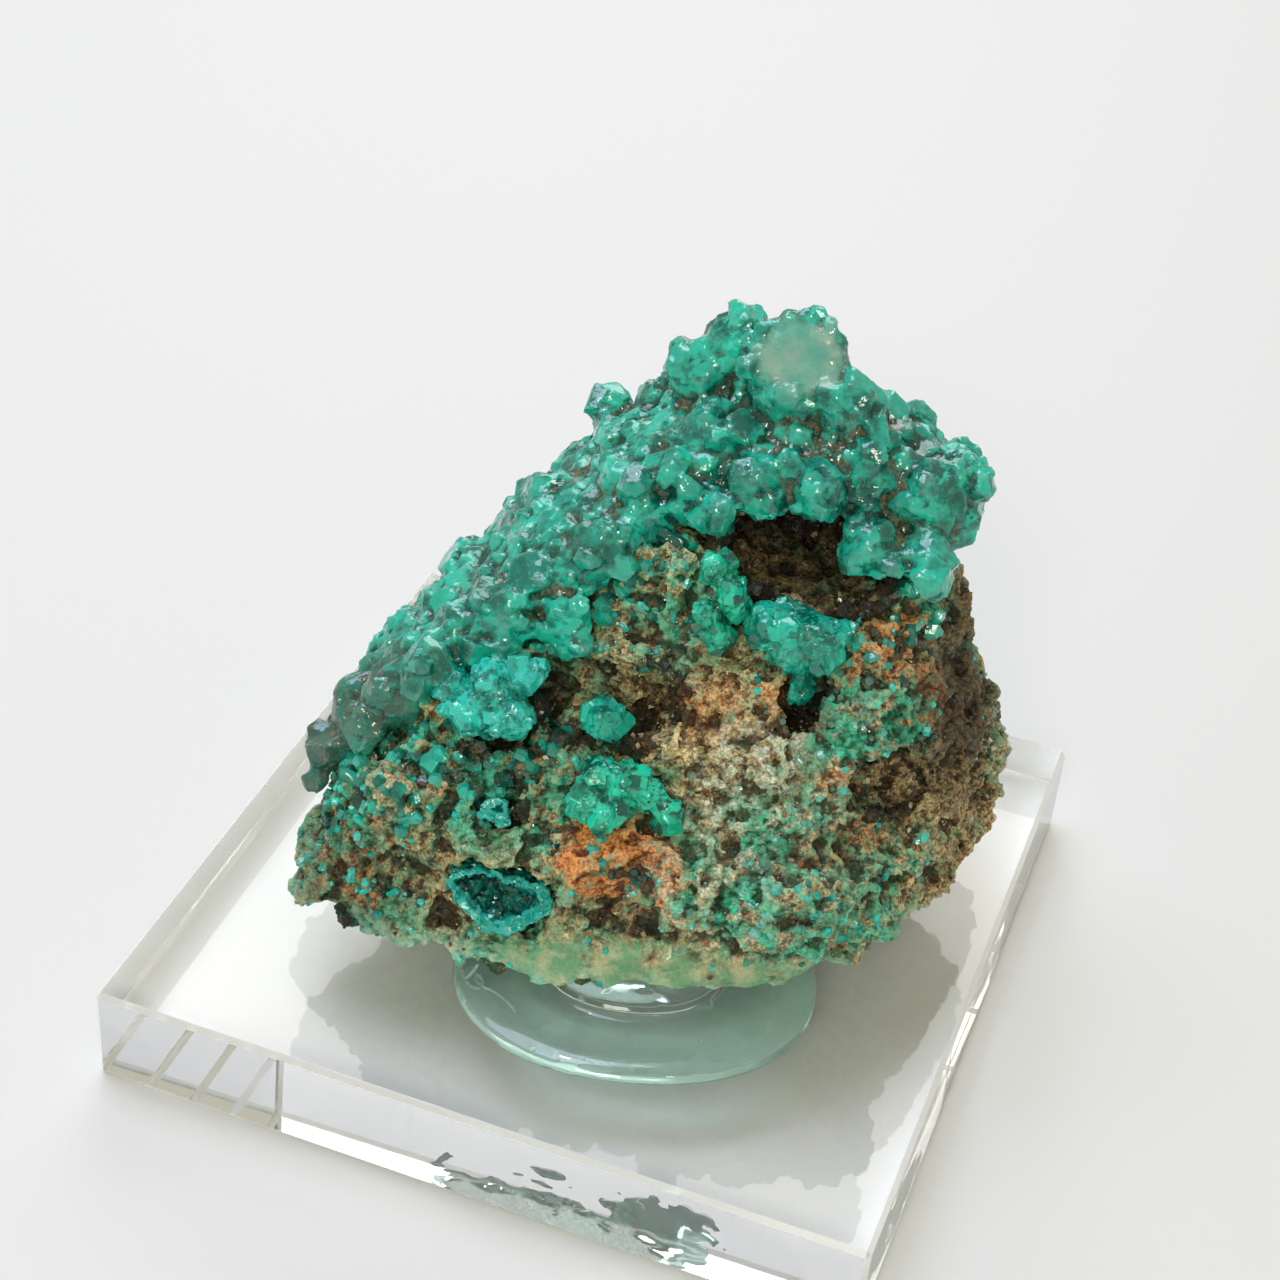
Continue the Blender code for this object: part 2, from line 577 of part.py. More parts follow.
def build_gel(clearance, collection):
    """The puddle, a turned form whose outline waves, rising to meet the rock."""
    floor = SLAB_HEIGHT + GAP
    bm = bmesh.new()
    points = [bm.verts.new((r * MM, 0.0, (floor + h) * MM)) for r, h in GEL_PROFILE]
    for first, second in zip(points, points[1:]):
        bm.edges.new((first, second))
    mesh = bpy.data.meshes.new("mounting_gel")
    bm.to_mesh(mesh)
    bm.free()
    gel = bpy.data.objects.new("mounting_gel", mesh)
    collection.objects.link(gel)
    turn = gel.modifiers.new("turn", "SCREW")
    turn.steps = GEL_STEPS
    turn.render_steps = GEL_STEPS
    turn.use_merge_vertices = True
    turn.merge_threshold = MERGE_DISTANCE
    bake(gel)
    for vertex in gel.data.vertices:
        angle = math.atan2(vertex.co.y, vertex.co.x)
        wave = 1.0 + GEL_WAVE * math.cos(GEL_WAVES * (angle - GEL_WAVE_START))
        vertex.co.x = vertex.co.x * wave + GEL_CENTRE[0] * MM
        vertex.co.y = vertex.co.y * wave + GEL_CENTRE[1] * MM
    boolean(gel, clearance, "DIFFERENCE")
    keep_largest_body(gel)
    return gel


def build_specimen():
    clear_scene()
    noise.seed_set(NOISE_SEED)
    parts = new_collection("dioptase_specimen")
    cutters = new_collection("cutters")
    slab = build_slab(parts)
    rock = build_raw_rock(parts)
    raw_clearance = grown(rock, GAP, cutters)
    crust = build_crust(rock, raw_clearance, parts, cutters)
    gel = build_gel(raw_clearance, parts)
    cut_hollows(rock, cutters)
    rock_clearance = grown(rock, GAP, cutters)
    pieces = [slab, rock, crust, gel]
    sheaths = []
    for name, crystals in CLUSTERS.items():
        cluster = build_cluster(name, crystals, parts, cutters)
        for other in sheaths:
            boolean(cluster, other, "DIFFERENCE", "MANIFOLD")
        boolean(cluster, rock_clearance, "DIFFERENCE", "MANIFOLD")
        keep_largest_body(cluster)
        sheaths.append(sheath(cluster, GAP, cutters))
        boolean(crust, sheaths[-1], "DIFFERENCE", "MANIFOLD")
        pieces.append(cluster)
    keep_largest_body(crust)
    for name, (hollow, wall, proud) in HOLLOW_CRUSTS.items():
        pieces.append(build_hollow_crust(name, hollow, wall, proud, parts, cutters))
    for piece in pieces:
        add_material(piece)


build_specimen()
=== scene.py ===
import json
import math

import bmesh
import bpy
import numpy as np
from mathutils import Matrix, Vector, bvhtree, kdtree, noise

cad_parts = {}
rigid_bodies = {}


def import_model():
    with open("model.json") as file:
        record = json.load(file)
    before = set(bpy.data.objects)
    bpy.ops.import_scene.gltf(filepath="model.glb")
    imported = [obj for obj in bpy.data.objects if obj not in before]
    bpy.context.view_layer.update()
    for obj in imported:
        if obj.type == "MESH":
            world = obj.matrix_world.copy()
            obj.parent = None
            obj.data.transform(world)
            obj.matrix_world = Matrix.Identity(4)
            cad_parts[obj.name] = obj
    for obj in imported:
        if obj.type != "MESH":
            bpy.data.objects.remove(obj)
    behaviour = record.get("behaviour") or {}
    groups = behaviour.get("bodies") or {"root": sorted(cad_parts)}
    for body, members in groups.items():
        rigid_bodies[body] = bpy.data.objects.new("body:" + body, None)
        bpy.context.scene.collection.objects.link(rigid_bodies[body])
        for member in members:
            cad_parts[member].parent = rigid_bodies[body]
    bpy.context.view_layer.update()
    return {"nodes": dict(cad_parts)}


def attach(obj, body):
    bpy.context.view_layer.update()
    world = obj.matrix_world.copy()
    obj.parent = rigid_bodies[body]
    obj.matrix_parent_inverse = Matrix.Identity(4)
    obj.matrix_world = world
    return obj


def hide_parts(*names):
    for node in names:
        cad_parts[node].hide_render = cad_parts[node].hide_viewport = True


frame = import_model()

MM = 0.001
NOISE_SEED = 5
noise.seed_set(NOISE_SEED)

# The view of the photograph: the camera looks down on the slab from the front right, a hand's
# breadth away, and rolls a little. Its place and angles were solved from the slab's corners.
SLAB_SIDE = 40.0
CAMERA_YAW = math.radians(17.53)
CAMERA_PITCH = math.radians(36.80)
CAMERA_ROLL = math.radians(5.08)
CAMERA_REACH = 4.0168 * SLAB_SIDE
CAMERA_AIM = (-0.2017 * SLAB_SIDE, 0.6498 * SLAB_SIDE, 0.0)
SENSOR_WIDTH = 36.0
FOCAL_PIXELS = 2546.15
PHOTO_WIDTH = 1280

ahead = Vector((
    -math.sin(CAMERA_YAW) * math.cos(CAMERA_PITCH),
    math.cos(CAMERA_YAW) * math.cos(CAMERA_PITCH),
    -math.sin(CAMERA_PITCH),
))
level = Vector((math.cos(CAMERA_YAW), math.sin(CAMERA_YAW), 0.0))
upward = level.cross(ahead)
side = math.cos(CAMERA_ROLL) * level + math.sin(CAMERA_ROLL) * upward
top = -math.sin(CAMERA_ROLL) * level + math.cos(CAMERA_ROLL) * upward
camera_turn = Matrix((side, top, -ahead)).transposed().to_4x4()
camera_place = (Vector(CAMERA_AIM) - ahead * CAMERA_REACH) * MM
bpy.ops.object.camera_add()
camera = bpy.context.object
camera.matrix_world = Matrix.Translation(camera_place) @ camera_turn
camera.data.sensor_width = SENSOR_WIDTH
camera.data.lens = SENSOR_WIDTH * FOCAL_PIXELS / PHOTO_WIDTH
camera.data.clip_start = 0.005
bpy.context.scene.camera = camera
bpy.context.scene.view_settings.view_transform = "Standard"

# The stage: a white sweep under a bright, even room light, a wide window light from the back
# left and a small one from the front that puts the glints on the crystals.
FLOOR_SIDE = 3.0
FLOOR_DROP = 0.05
FLOOR_COLOUR = (0.70, 0.70, 0.70, 1.0)
ROOM_LIGHT = 0.50
ROOM_COLOUR = (1.0, 0.975, 0.80)
WINDOW_COLOUR = (0.70, 0.76, 1.0)
SPARK_COLOUR = (1.0, 1.0, 1.0)
SLAB_CROSSINGS = 12


def plain_material(name):
    material = bpy.data.materials.new(name)
    material.use_nodes = True
    return material, material.node_tree, material.node_tree.nodes["Principled BSDF"]


bpy.ops.mesh.primitive_plane_add(size=FLOOR_SIDE, location=(0.0, 0.0, -FLOOR_DROP * MM))
floor = bpy.context.object
floor.name = "floor"
floor_material, _, shader = plain_material("white_floor")
shader.inputs["Base Color"].default_value = FLOOR_COLOUR
shader.inputs["Roughness"].default_value = 0.6
floor.data.materials.append(floor_material)

world = bpy.data.worlds.new("room")
bpy.context.scene.world = world
world.use_nodes = True
world.node_tree.nodes["Background"].inputs["Color"].default_value = (*ROOM_COLOUR, 1.0)
world.node_tree.nodes["Background"].inputs["Strength"].default_value = ROOM_LIGHT


def add_lamp(name, place, size, power, colour):
    """A square light that looks at the specimen."""
    bpy.ops.object.light_add(type="AREA", location=place)
    lamp = bpy.context.object
    lamp.name = name
    lamp.data.size = size
    lamp.data.energy = power
    lamp.data.color = colour
    lamp.rotation_euler = (Vector((0.0, 0.0, 0.015)) - Vector(place)).to_track_quat("-Z", "Y").to_euler()


add_lamp("window_light", (-0.17, 0.06, 0.50), 0.28, 1.3, WINDOW_COLOUR)
add_lamp("spark_light", (-0.10, 0.05, 0.55), 0.02, 0.10, SPARK_COLOUR)
add_lamp("front_light", (0.05, -0.38, 0.30), 0.12, 0.62, ROOM_COLOUR)
add_lamp("back_light", (-0.145, 0.458, 0.36), 0.35, 1.1, SPARK_COLOUR)
add_lamp("front_spark", (0.16, -0.20, 0.42), 0.02, 0.06, SPARK_COLOUR)

# Light crosses the clear slab and the crystals many times before it reaches the camera, and
# it stays sharp on the way, so that what lies under the slab is as bright as the floor.
bpy.context.scene.cycles.blur_glossy = 0.0
bpy.context.scene.cycles.max_bounces = SLAB_CROSSINGS
bpy.context.scene.cycles.transmission_bounces = SLAB_CROSSINGS
bpy.context.scene.cycles.glossy_bounces = SLAB_CROSSINGS
bpy.context.scene.cycles.diffuse_bounces = 3

# The slab is a square of clear acrylic with polished edges. Its node is right as it is and
# takes a clear, very faintly cool material.
ACRYLIC_IOR = 1.49

slab = frame["nodes"]["acrylic_base"]
slab_material, tree, shader = plain_material("clear_acrylic")
shader.inputs["Base Color"].default_value = (1.0, 0.998, 0.985, 1.0)
shader.inputs["IOR"].default_value = ACRYLIC_IOR
grain = tree.nodes.new("ShaderNodeTexNoise")
coordinates = tree.nodes.new("ShaderNodeTexCoord")
spread = tree.nodes.new("ShaderNodeMapRange")
tree.links.new(coordinates.outputs["Object"], grain.inputs["Vector"])
grain.inputs["Scale"].default_value = 900.0
spread.inputs["To Min"].default_value = 0.0
spread.inputs["To Max"].default_value = 0.03
tree.links.new(grain.outputs["Fac"], spread.inputs["Value"])
normal = tree.nodes.new("ShaderNodeNewGeometry")
upright = tree.nodes.new("ShaderNodeVectorMath")
upright.operation = "ABSOLUTE"
tree.links.new(normal.outputs["True Normal"], upright.inputs[0])
axes = tree.nodes.new("ShaderNodeSeparateXYZ")
tree.links.new(upright.outputs["Vector"], axes.inputs["Vector"])
highest = axes.outputs["X"]
for axis in ("Y", "Z"):
    larger = tree.nodes.new("ShaderNodeMath")
    larger.operation = "MAXIMUM"
    tree.links.new(highest, larger.inputs[0])
    tree.links.new(axes.outputs[axis], larger.inputs[1])
    highest = larger.outputs["Value"]
polished = tree.nodes.new("ShaderNodeMapRange")
polished.inputs["From Min"].default_value = 0.85
polished.inputs["From Max"].default_value = 0.95
polished.inputs["To Min"].default_value = 0.35
tree.links.new(highest, polished.inputs["Value"])
tree.links.new(polished.outputs["Result"], shader.inputs["Transmission Weight"])
tree.links.new(spread.outputs["Result"], shader.inputs["Roughness"])
slab.data.materials.clear()
slab.data.materials.append(slab_material)

# The gel is a poured puddle of clear hot-melt glue, rounded at its rim and drawn up under the
# rock where the rock was pressed into it. It is slightly cloudy and bluish.
GEL_CENTRE = (3.5, -6.5)
GEL_FLOOR = 5.47
GEL_WAVE = 0.05
GEL_WAVE_START = math.radians(228.0)
GEL_SIDES = 144
GEL_UNDERSIDE = [0.4 + 0.3 * ring for ring in range(29)]
# From the rim over the top to the rock's foot: radius and height over the underside.
GEL_TOP = [
    (9.0, 0.02), (9.1, 0.12), (9.12, 0.25), (9.06, 0.38), (8.93, 0.50), (8.75, 0.59), (8.5, 0.67),
    (8.2, 0.73), (7.8, 0.77), (7.2, 0.80), (6.4, 0.82), (5.6, 0.88), (5.1, 1.1), (4.8, 1.6),
    (4.6, 2.4), (4.2, 3.2),
]
# The gel touches the slab in ragged patches only, and air stays between them: middle and half
# sizes of each patch.
CONTACTS = [
    ((3.5, -11.0), (8.8, 4.6)), ((8.2, -6.0), (3.4, 3.2)), ((1.6, -4.4), (1.2, 0.7)),
    ((-4.4, -6.2), (1.1, 2.2)), ((10.6, -3.8), (1.5, 1.2)),
]
CONTACT_REACH = 7.9
AIR_GAP = 0.10
# A thread of gel hangs from the rock's corner and lies curled on the puddle, and a few bubbles
# stand in it: points, and places with a radius.
GEL_THREAD = [
    (-2.6, -12.9, 8.3), (-2.9, -13.0, 7.6), (-3.3, -12.7, 6.9), (-3.9, -12.0, 6.35), (-4.0, -11.5, 6.3),
    (-3.7, -12.0, 6.3), (-3.1, -12.6, 6.3), (-2.5, -12.5, 6.3), (-2.7, -11.8, 6.32), (-3.3, -11.6, 6.34),
    (-2.9, -12.3, 6.34), (-1.5, -12.4, 6.3), (-0.4, -13.2, 6.3),
]
GEL_THREAD_RADIUS = 0.07
GEL_BUBBLES = [
    ((2.3, -11.0), 0.20), ((1.3, -15.2), 0.18), ((-0.9, -12.6), 0.08), ((8.6, -11.2), 0.10),
    ((5.2, -12.4), 0.07), ((-3.0, -13.6), 0.12), ((10.4, -10.4), 0.08), ((6.2, -14.4), 0.09),
]


def deselect_all():
    bpy.ops.object.select_all(action="DESELECT")


deselect_all()
gel_rings = [(radius, 0.0) for radius in GEL_UNDERSIDE] + GEL_TOP
radius, height = gel_rings[0]
bpy.ops.mesh.primitive_circle_add(
    vertices=GEL_SIDES, radius=radius * MM, fill_type="NGON",
    location=(GEL_CENTRE[0] * MM, GEL_CENTRE[1] * MM, (GEL_FLOOR + height) * MM),
)
gel = bpy.context.object
gel.name = "gel_puddle"
bpy.ops.object.transform_apply(location=True, rotation=False, scale=False)
bpy.ops.object.mode_set(mode="EDIT")
bpy.ops.mesh.select_all(action="SELECT")
for (last_radius, last_height), (radius, height) in zip(gel_rings, gel_rings[1:]):
    bpy.ops.mesh.extrude_region_move(
        TRANSFORM_OT_translate={"value": (0.0, 0.0, (height - last_height) * MM)}
    )
    middle = (GEL_CENTRE[0] * MM, GEL_CENTRE[1] * MM, (GEL_FLOOR + height) * MM)
    share = radius / last_radius
    bpy.ops.transform.resize(value=(share, share, 1.0), center_override=middle)
bpy.ops.mesh.select_all(action="SELECT")
bpy.ops.mesh.normals_make_consistent(inside=False)
bpy.ops.object.mode_set(mode="OBJECT")
for vertex in gel.data.vertices:
    x = vertex.co.x - GEL_CENTRE[0] * MM
    y = vertex.co.y - GEL_CENTRE[1] * MM
    wave = 1.0 + GEL_WAVE * math.cos(3.0 * (math.atan2(y, x) - GEL_WAVE_START))
    vertex.co.x = GEL_CENTRE[0] * MM + x * wave
    vertex.co.y = GEL_CENTRE[1] * MM + y * wave
    if vertex.co.z < (GEL_FLOOR + 0.03) * MM:
        ragged = 0.5 * noise.fractal(Vector((vertex.co.x, vertex.co.y, 0.0)) / MM * 0.8, 1.0, 2.0, 3)
        touching = -1.0
        for (centre_x, centre_y), (half_x, half_y) in CONTACTS:
            off_x = (vertex.co.x / MM - centre_x) / half_x
            off_y = (vertex.co.y / MM - centre_y) / half_y
            touching = max(touching, 1.0 - math.hypot(off_x, off_y))
        touching = min(touching, CONTACT_REACH - math.hypot(x, y) / MM) + ragged
        vertex.co.z += AIR_GAP * MM * min(max(0.5 - 2.0 * touching, 0.0), 1.0)
path = bpy.data.curves.new("gel_thread", "CURVE")
path.dimensions = "3D"
path.bevel_depth = GEL_THREAD_RADIUS * MM
path.bevel_resolution = 2
path.use_fill_caps = True
spline = path.splines.new("NURBS")
spline.points.add(len(GEL_THREAD) - 1)
for point, place in zip(spline.points, GEL_THREAD):
    point.co = (*(Vector(place) * MM), 1.0)
spline.use_endpoint_u = True
spline.order_u = 3
thread = bpy.data.objects.new("gel_thread", path)
bpy.context.collection.objects.link(thread)
deselect_all()
thread.select_set(True)
bpy.context.view_layer.objects.active = thread
bpy.ops.object.convert(target="MESH")
extras = [bpy.context.object]
for (x, y), radius in GEL_BUBBLES:
    deselect_all()
    bpy.ops.mesh.primitive_ico_sphere_add(
        subdivisions=3, radius=radius * MM, location=(x * MM, y * MM, (GEL_FLOOR + 0.78) * MM),
    )
    bpy.ops.object.transform_apply(location=True, rotation=False, scale=False)
    extras.append(bpy.context.object)
deselect_all()
for extra in extras:
    extra.select_set(True)
gel.select_set(True)
bpy.context.view_layer.objects.active = gel
bpy.ops.object.join()
gel.data.shade_smooth()
gel_material, tree, shader = plain_material("clear_gel")
shader.inputs["Base Color"].default_value = (0.74, 0.94, 0.88, 1.0)
shader.inputs["Transmission Weight"].default_value = 0.82
shader.inputs["IOR"].default_value = 1.48
shader.inputs["Roughness"].default_value = 0.04
fog = tree.nodes.new("ShaderNodeVolumeAbsorption")
fog.inputs["Color"].default_value = (0.30, 0.92, 0.84, 1.0)
fog.inputs["Density"].default_value = 70.0
tree.links.new(fog.outputs["Volume"], tree.nodes["Material Output"].inputs["Volume"])
coordinates = tree.nodes.new("ShaderNodeTexCoord")
ripple = tree.nodes.new("ShaderNodeTexNoise")
ripple.inputs["Scale"].default_value = 350.0
bump = tree.nodes.new("ShaderNodeBump")
bump.inputs["Distance"].default_value = 0.0001
bump.inputs["Strength"].default_value = 0.08
tree.links.new(coordinates.outputs["Object"], ripple.inputs["Vector"])
tree.links.new(ripple.outputs["Fac"], bump.inputs["Height"])
tree.links.new(bump.outputs["Normal"], shader.inputs["Normal"])
gel.data.materials.append(gel_material)
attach(gel, "root")
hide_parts("mounting_gel")

# The matrix is brown limonite, crumbly and granular, with rusty and pale patches. It grew as
# one piece, and its skin is all grains and small pits.
ROCK_VOXEL = 0.20
# Folds and pits, each with its grain and its depth; folds stand out and pits go in.
ROCK_FOLDS = [(4.2, 0.60), (1.7, 0.10)]
ROCK_PITS = [(3.0, 1.0)]
ROCK_CHIPS = [(1.9, 0.30, 0.30, 9), (0.9, 0.40, 0.15, 3), (0.45, 0.5, 0.10, 4)]
# Listed patches: centre in millimetres, radius, and how strong the colour is there.
RUST_PATCHES = [
    ((2.6, -9.4, 14.4), 2.0, 2.0), ((4.6, -9.2, 14.2), 1.4, 1.6), ((8.4, -1.6, 20.6), 1.6, 0.9), ((12.2, 1.6, 23.0), 2.2, 0.9),
    ((13.0, -3.4, 17.0), 2.2, 0.6), ((5.0, -3.2, 20.4), 1.6, 0.5), ((-9.6, -12.8, 10.0), 2.0, 0.5),
    ((14.6, 2.2, 20.4), 1.8, 0.6), ((7.0, -10.8, 10.4), 2.2, 0.6), ((10.4, 1.0, 22.4), 1.4, 0.8),
]
PALE_PATCHES = [
    ((8.6, -5.0, 17.2), 3.0, 1.0), ((7.2, -6.6, 15.6), 2.0, 0.7), ((8.0, -9.0, 12.6), 3.0, 0.6),
    ((11.6, -1.0, 20.2), 1.6, 0.5),
]
GOLD_PATCHES = [
    ((5.0, -3.6, 19.8), 2.8, 1.0), ((6.4, -1.6, 21.6), 2.0, 1.0), ((1.8, -0.4, 25.0), 2.2, 1.0),
    ((3.4, -4.4, 18.4), 2.2, 0.9), ((7.6, -10.6, 10.8), 3.4, 0.9), ((1.6, -12.0, 9.4), 2.6, 0.6),
    ((-7.6, -9.0, 15.2), 2.6, 0.6), ((15.6, -1.6, 14.6), 3.0, 0.7), ((12.0, 1.2, 22.8), 2.2, 0.8),
    ((-2.6, -4.0, 20.6), 1.8, 0.6),
]
# The right flank swells a little over the recess: centre, radius and height.
BULGES = [((16.0, 6.6, 22.6), 2.2, 0.9), ((15.2, 5.0, 25.0), 1.6, 0.6)]
# Clear gel has run up over the rock's lower front edge.
GLUED_PATCHES = [
    ((1.1, -11.5, 8.9), 1.3, 1.0), ((4.0, -10.8, 9.1), 1.4, 1.0), ((6.9, -10.0, 8.8), 1.4, 1.0),
    ((9.7, -9.1, 8.6), 1.4, 1.0), ((12.3, -7.9, 9.0), 1.3, 0.9), ((-1.0, -12.1, 8.4), 1.0, 0.8),
]
# Painted shade: these patches darken the matrix where it lies in shade, on the right flank, in the recess beside it, in
# the mouth, in small pits and low on the left.
SHADE_PATCHES = [
    ((5.1, 6.1, 23.9), 3.0, 1.0), ((7.2, 6.3, 23.5), 2.6, 1.0), ((3.3, 5.0, 24.9), 2.2, 0.9),
    ((-10.8, -11.3, 11.4), 2.2, 0.5), ((-10.0, -12.0, 9.2), 3.0, 0.5), ((-13.3, -7.3, 12.0), 2.6, 0.5),
    ((17.4, 4.6, 19.0), 4.2, 1.0), ((17.6, 5.0, 23.0), 3.6, 1.0), ((15.3, -1.6, 17.4), 2.4, 0.8),
    ((7.2, 3.8, 25.4), 3.4, 0.7), ((-4.2, -6.6, 17.4), 1.5, 0.7), ((9.4, -1.4, 20.0), 1.3, 0.8),
]
GREEN_PATCHES = [
    ((11.6, -1.4, 20.0), 2.8, 1.0), ((9.6, -6.6, 15.4), 2.4, 0.9), ((12.8, -8.0, 11.6), 3.4, 0.9),
    ((9.4, -8.4, 12.4), 2.4, 1.0), ((5.0, -11.6, 9.6), 3.0, 0.8), ((-1.0, -12.6, 9.4), 2.6, 0.9),
    ((15.6, -4.0, 12.0), 3.2, 0.8), ((1.0, -8.6, 15.4), 3.4, 1.2), ((-4.6, -9.4, 14.6), 2.2, 0.8),
    ((-12.6, -6.0, 14.0), 4.2, 1.1), ((-11.4, -8.8, 12.6), 4.0, 0.9), ((-8.6, -6.8, 17.2), 2.8, 1.1),
    ((-13.4, -10.4, 9.8), 2.4, 0.6), ((-4.4, -8.4, 16.6), 2.2, 1.1), ((-6.4, -5.6, 19.6), 2.4, 1.0),
    ((2.4, -0.6, 23.6), 3.0, 0.8), ((-3.4, -4.6, 20.4), 2.6, 0.9), ((12.6, 3.4, 24.6), 2.6, 1.0),
    ((-8.6, -13.2, 8.8), 3.0, 0.8), ((13.6, 0.6, 20.0), 2.2, 1.1), ((8.0, -2.2, 22.0), 1.6, 0.6),
    ((15.0, 14.0, 16.0), 6.0, 0.6), ((-6.0, 10.0, 12.0), 6.0, 0.7), ((4.0, 15.0, 13.0), 6.0, 0.6),
    ((12.4, -3.6, 16.8), 2.2, 0.9), ((5.6, -8.6, 13.6), 2.2, 1.0),
]
# Where larger crystals sprout from the matrix, below the crust and along the left flank.
SPROUTING = [
    ((-1.2, -1.0, 23.8), 1.8, 1.0), ((0.4, 0.4, 25.4), 1.4, 0.9), ((-3.2, -3.0, 21.6), 1.6, 1.0),
    ((-6.6, -5.0, 19.6), 1.7, 1.0), ((-8.8, -5.2, 17.6), 1.7, 1.0), ((3.6, -0.8, 23.0), 1.2, 0.9),
    ((-11.4, -6.0, 15.6), 2.2, 0.8), ((-13.0, -7.6, 12.8), 1.8, 0.7), ((11.0, 0.4, 22.6), 1.6, 0.7),
    ((13.2, 2.4, 24.2), 1.6, 0.9), ((0.6, -6.8, 16.4), 1.2, 0.9), ((-2.6, -6.6, 17.2), 1.2, 0.8),
    ((-13.3, -7.3, 12.0), 2.2, 0.7), ((-8.7, -11.2, 15.4), 1.8, 0.6), ((-7.5, -9.4, 17.0), 1.6, 0.7),
    ((-12.4, -9.6, 12.6), 1.8, 0.7), ((-10.8, -9.4, 15.0), 1.8, 0.7), ((-4.2, -8.3, 16.4), 1.2, 0.9),
]
GREEN_CLUMPS = (1.6, -0.05)
# Below this height the matrix is painted bright teal and pale green: its own teal colour, brightened as painted bounce
# light from the slab and floor.
UNDERSIDE_HEIGHT = 9.2


def copy_of_node(node, name):
    """A welded copy of a CAD node's mesh, as a new piece."""
    piece = frame["nodes"][node].copy()
    piece.data = frame["nodes"][node].data.copy()
    piece.name = name
    piece.parent = None
    bpy.context.collection.objects.link(piece)
    piece.data.materials.clear()
    deselect_all()
    piece.select_set(True)
    bpy.context.view_layer.objects.active = piece
    bpy.ops.object.mode_set(mode="EDIT")
    bpy.ops.mesh.select_all(action="SELECT")
    bpy.ops.mesh.remove_doubles(threshold=0.000002)
    bpy.ops.object.mode_set(mode="OBJECT")
    bpy.ops.mesh.customdata_custom_splitnormals_clear()
    piece.data.shade_flat()
    return piece


def apply_modifier(piece, modifier):
    bpy.context.view_layer.objects.active = piece
    bpy.ops.object.modifier_apply(modifier=modifier.name)


def crumble(piece, folds, pits, bulge, spare):
    """Fold and pit a skin, along its own normals, so that it turns crumbly."""
    places = vertex_places(piece)
    normals = np.empty(places.size)
    piece.data.vertices.foreach_get("normal", normals)
    push = np.zeros(len(places))
    for grain_size, depth in folds:
        folded = [noise.ridged_multi_fractal(Vector(p) / grain_size, 1.0, 2.1, 3, 1.0, 2.0) for p in places]
        push += (np.array(folded) - np.mean(folded)) * depth
    for grain_size, depth in pits:
        near = [noise.voronoi(Vector(p) / grain_size)[0][0] for p in places]
        push -= depth * np.clip(0.55 - np.array(near), 0.0, 0.35)
    push = np.clip(push, -1.6, 0.35) * (1.0 - spare) + bulge
    places += normals.reshape(-1, 3) * push[:, None]
    piece.data.vertices.foreach_set("co", (places * MM).ravel())
    piece.data.update()


def store(piece, name, values):
    layer = piece.data.attributes.get(name) or piece.data.attributes.new(name, "FLOAT", "POINT")
    layer.data.foreach_set("value", np.asarray(values, dtype=np.float32))


def chip(piece, spacing, tilt, reach, seed, grain=(0.0, 0.0, 0.0), spare=None):
    """Break a skin into flat chips: each part of it is pressed onto a plane of its own."""
    mesh = piece.data
    places = vertex_places(piece)
    normals = np.empty(len(places) * 3)
    mesh.vertices.foreach_get("normal", normals)
    normals = normals.reshape(-1, 3)
    draw = np.random.default_rng(seed)
    middles = []
    for number in draw.permutation(len(places))[: int(len(places) * 0.4)]:
        place = places[number]
        key = tuple(np.floor(place / spacing).astype(int))
        middles.append((key, number))
    middles = list(dict(middles).values())
    spread = places - np.outer(places @ np.array(grain), np.array(grain))
    tree = kdtree.KDTree(len(middles))
    for index, number in enumerate(middles):
        tree.insert(spread[number], index)
    tree.balance()
    nearest = np.array([tree.find(place)[1] for place in spread])
    ways = normals[middles] + draw.normal(0.0, tilt, (len(middles), 3))
    ways /= np.linalg.norm(ways, axis=1)[:, None]
    lifts = draw.uniform(-0.7, 0.0, len(middles)) * reach
    way = ways[nearest]
    offset = np.einsum("ij,ij->i", places[middles][nearest] - places, way) + lifts[nearest]
    facing = np.clip(np.einsum("ij,ij->i", normals, way), 0.35, 1.0)
    shift = np.clip(offset / facing, -reach, 0.2 * reach)
    if spare is not None:
        shift *= 1.0 - spare
    places += normals * shift[:, None]
    mesh.vertices.foreach_set("co", (places * MM).ravel())
    mesh.update()
    store(piece, "tint", draw.uniform(0.0, 1.0, len(middles))[nearest])


def vertex_places(piece):
    places = np.empty(len(piece.data.vertices) * 3)
    piece.data.vertices.foreach_get("co", places)
    return places.reshape(-1, 3) / MM


def evened(piece, vectors, rounds):
    """Even out values at the vertices with those of their neighbours, a number of times."""
    edges = np.empty(len(piece.data.edges) * 2, dtype=np.int32)
    piece.data.edges.foreach_get("vertices", edges)
    first, second = edges.reshape(-1, 2).T
    mean = vectors.copy()
    count = np.bincount(edges, minlength=len(vectors))
    for _ in range(rounds):
        for axis in range(3):
            here = mean[:, axis]
            total = np.bincount(first, here[second], len(here)) + np.bincount(second, here[first], len(here))
            mean[:, axis] = total / count
    return mean


def store_ridges(piece, name, rounds):
    """Store how far each point stands out over its neighbourhood, in millimetres."""
    places = vertex_places(piece)
    mean = evened(piece, places, rounds)
    normals = np.empty(places.size)
    piece.data.vertices.foreach_get("normal", normals)
    store(piece, name, np.einsum("ij,ij->i", places - mean, normals.reshape(-1, 3)))


def paint(piece, name, patches):
    """Store how strongly a colour shows at each point, from the list of its patches."""
    places = vertex_places(piece)
    amount = np.zeros(len(places))
    for centre, radius, strength in patches:
        reach = np.linalg.norm(places - np.array(centre), axis=1) / radius
        amount = np.maximum(amount, strength * np.clip(1.6 - reach, 0.0, 1.0))
    store(piece, name, amount)


def values_of(piece, name):
    values = np.empty(len(piece.data.vertices))
    piece.data.attributes[name].data.foreach_get("value", values)
    return values


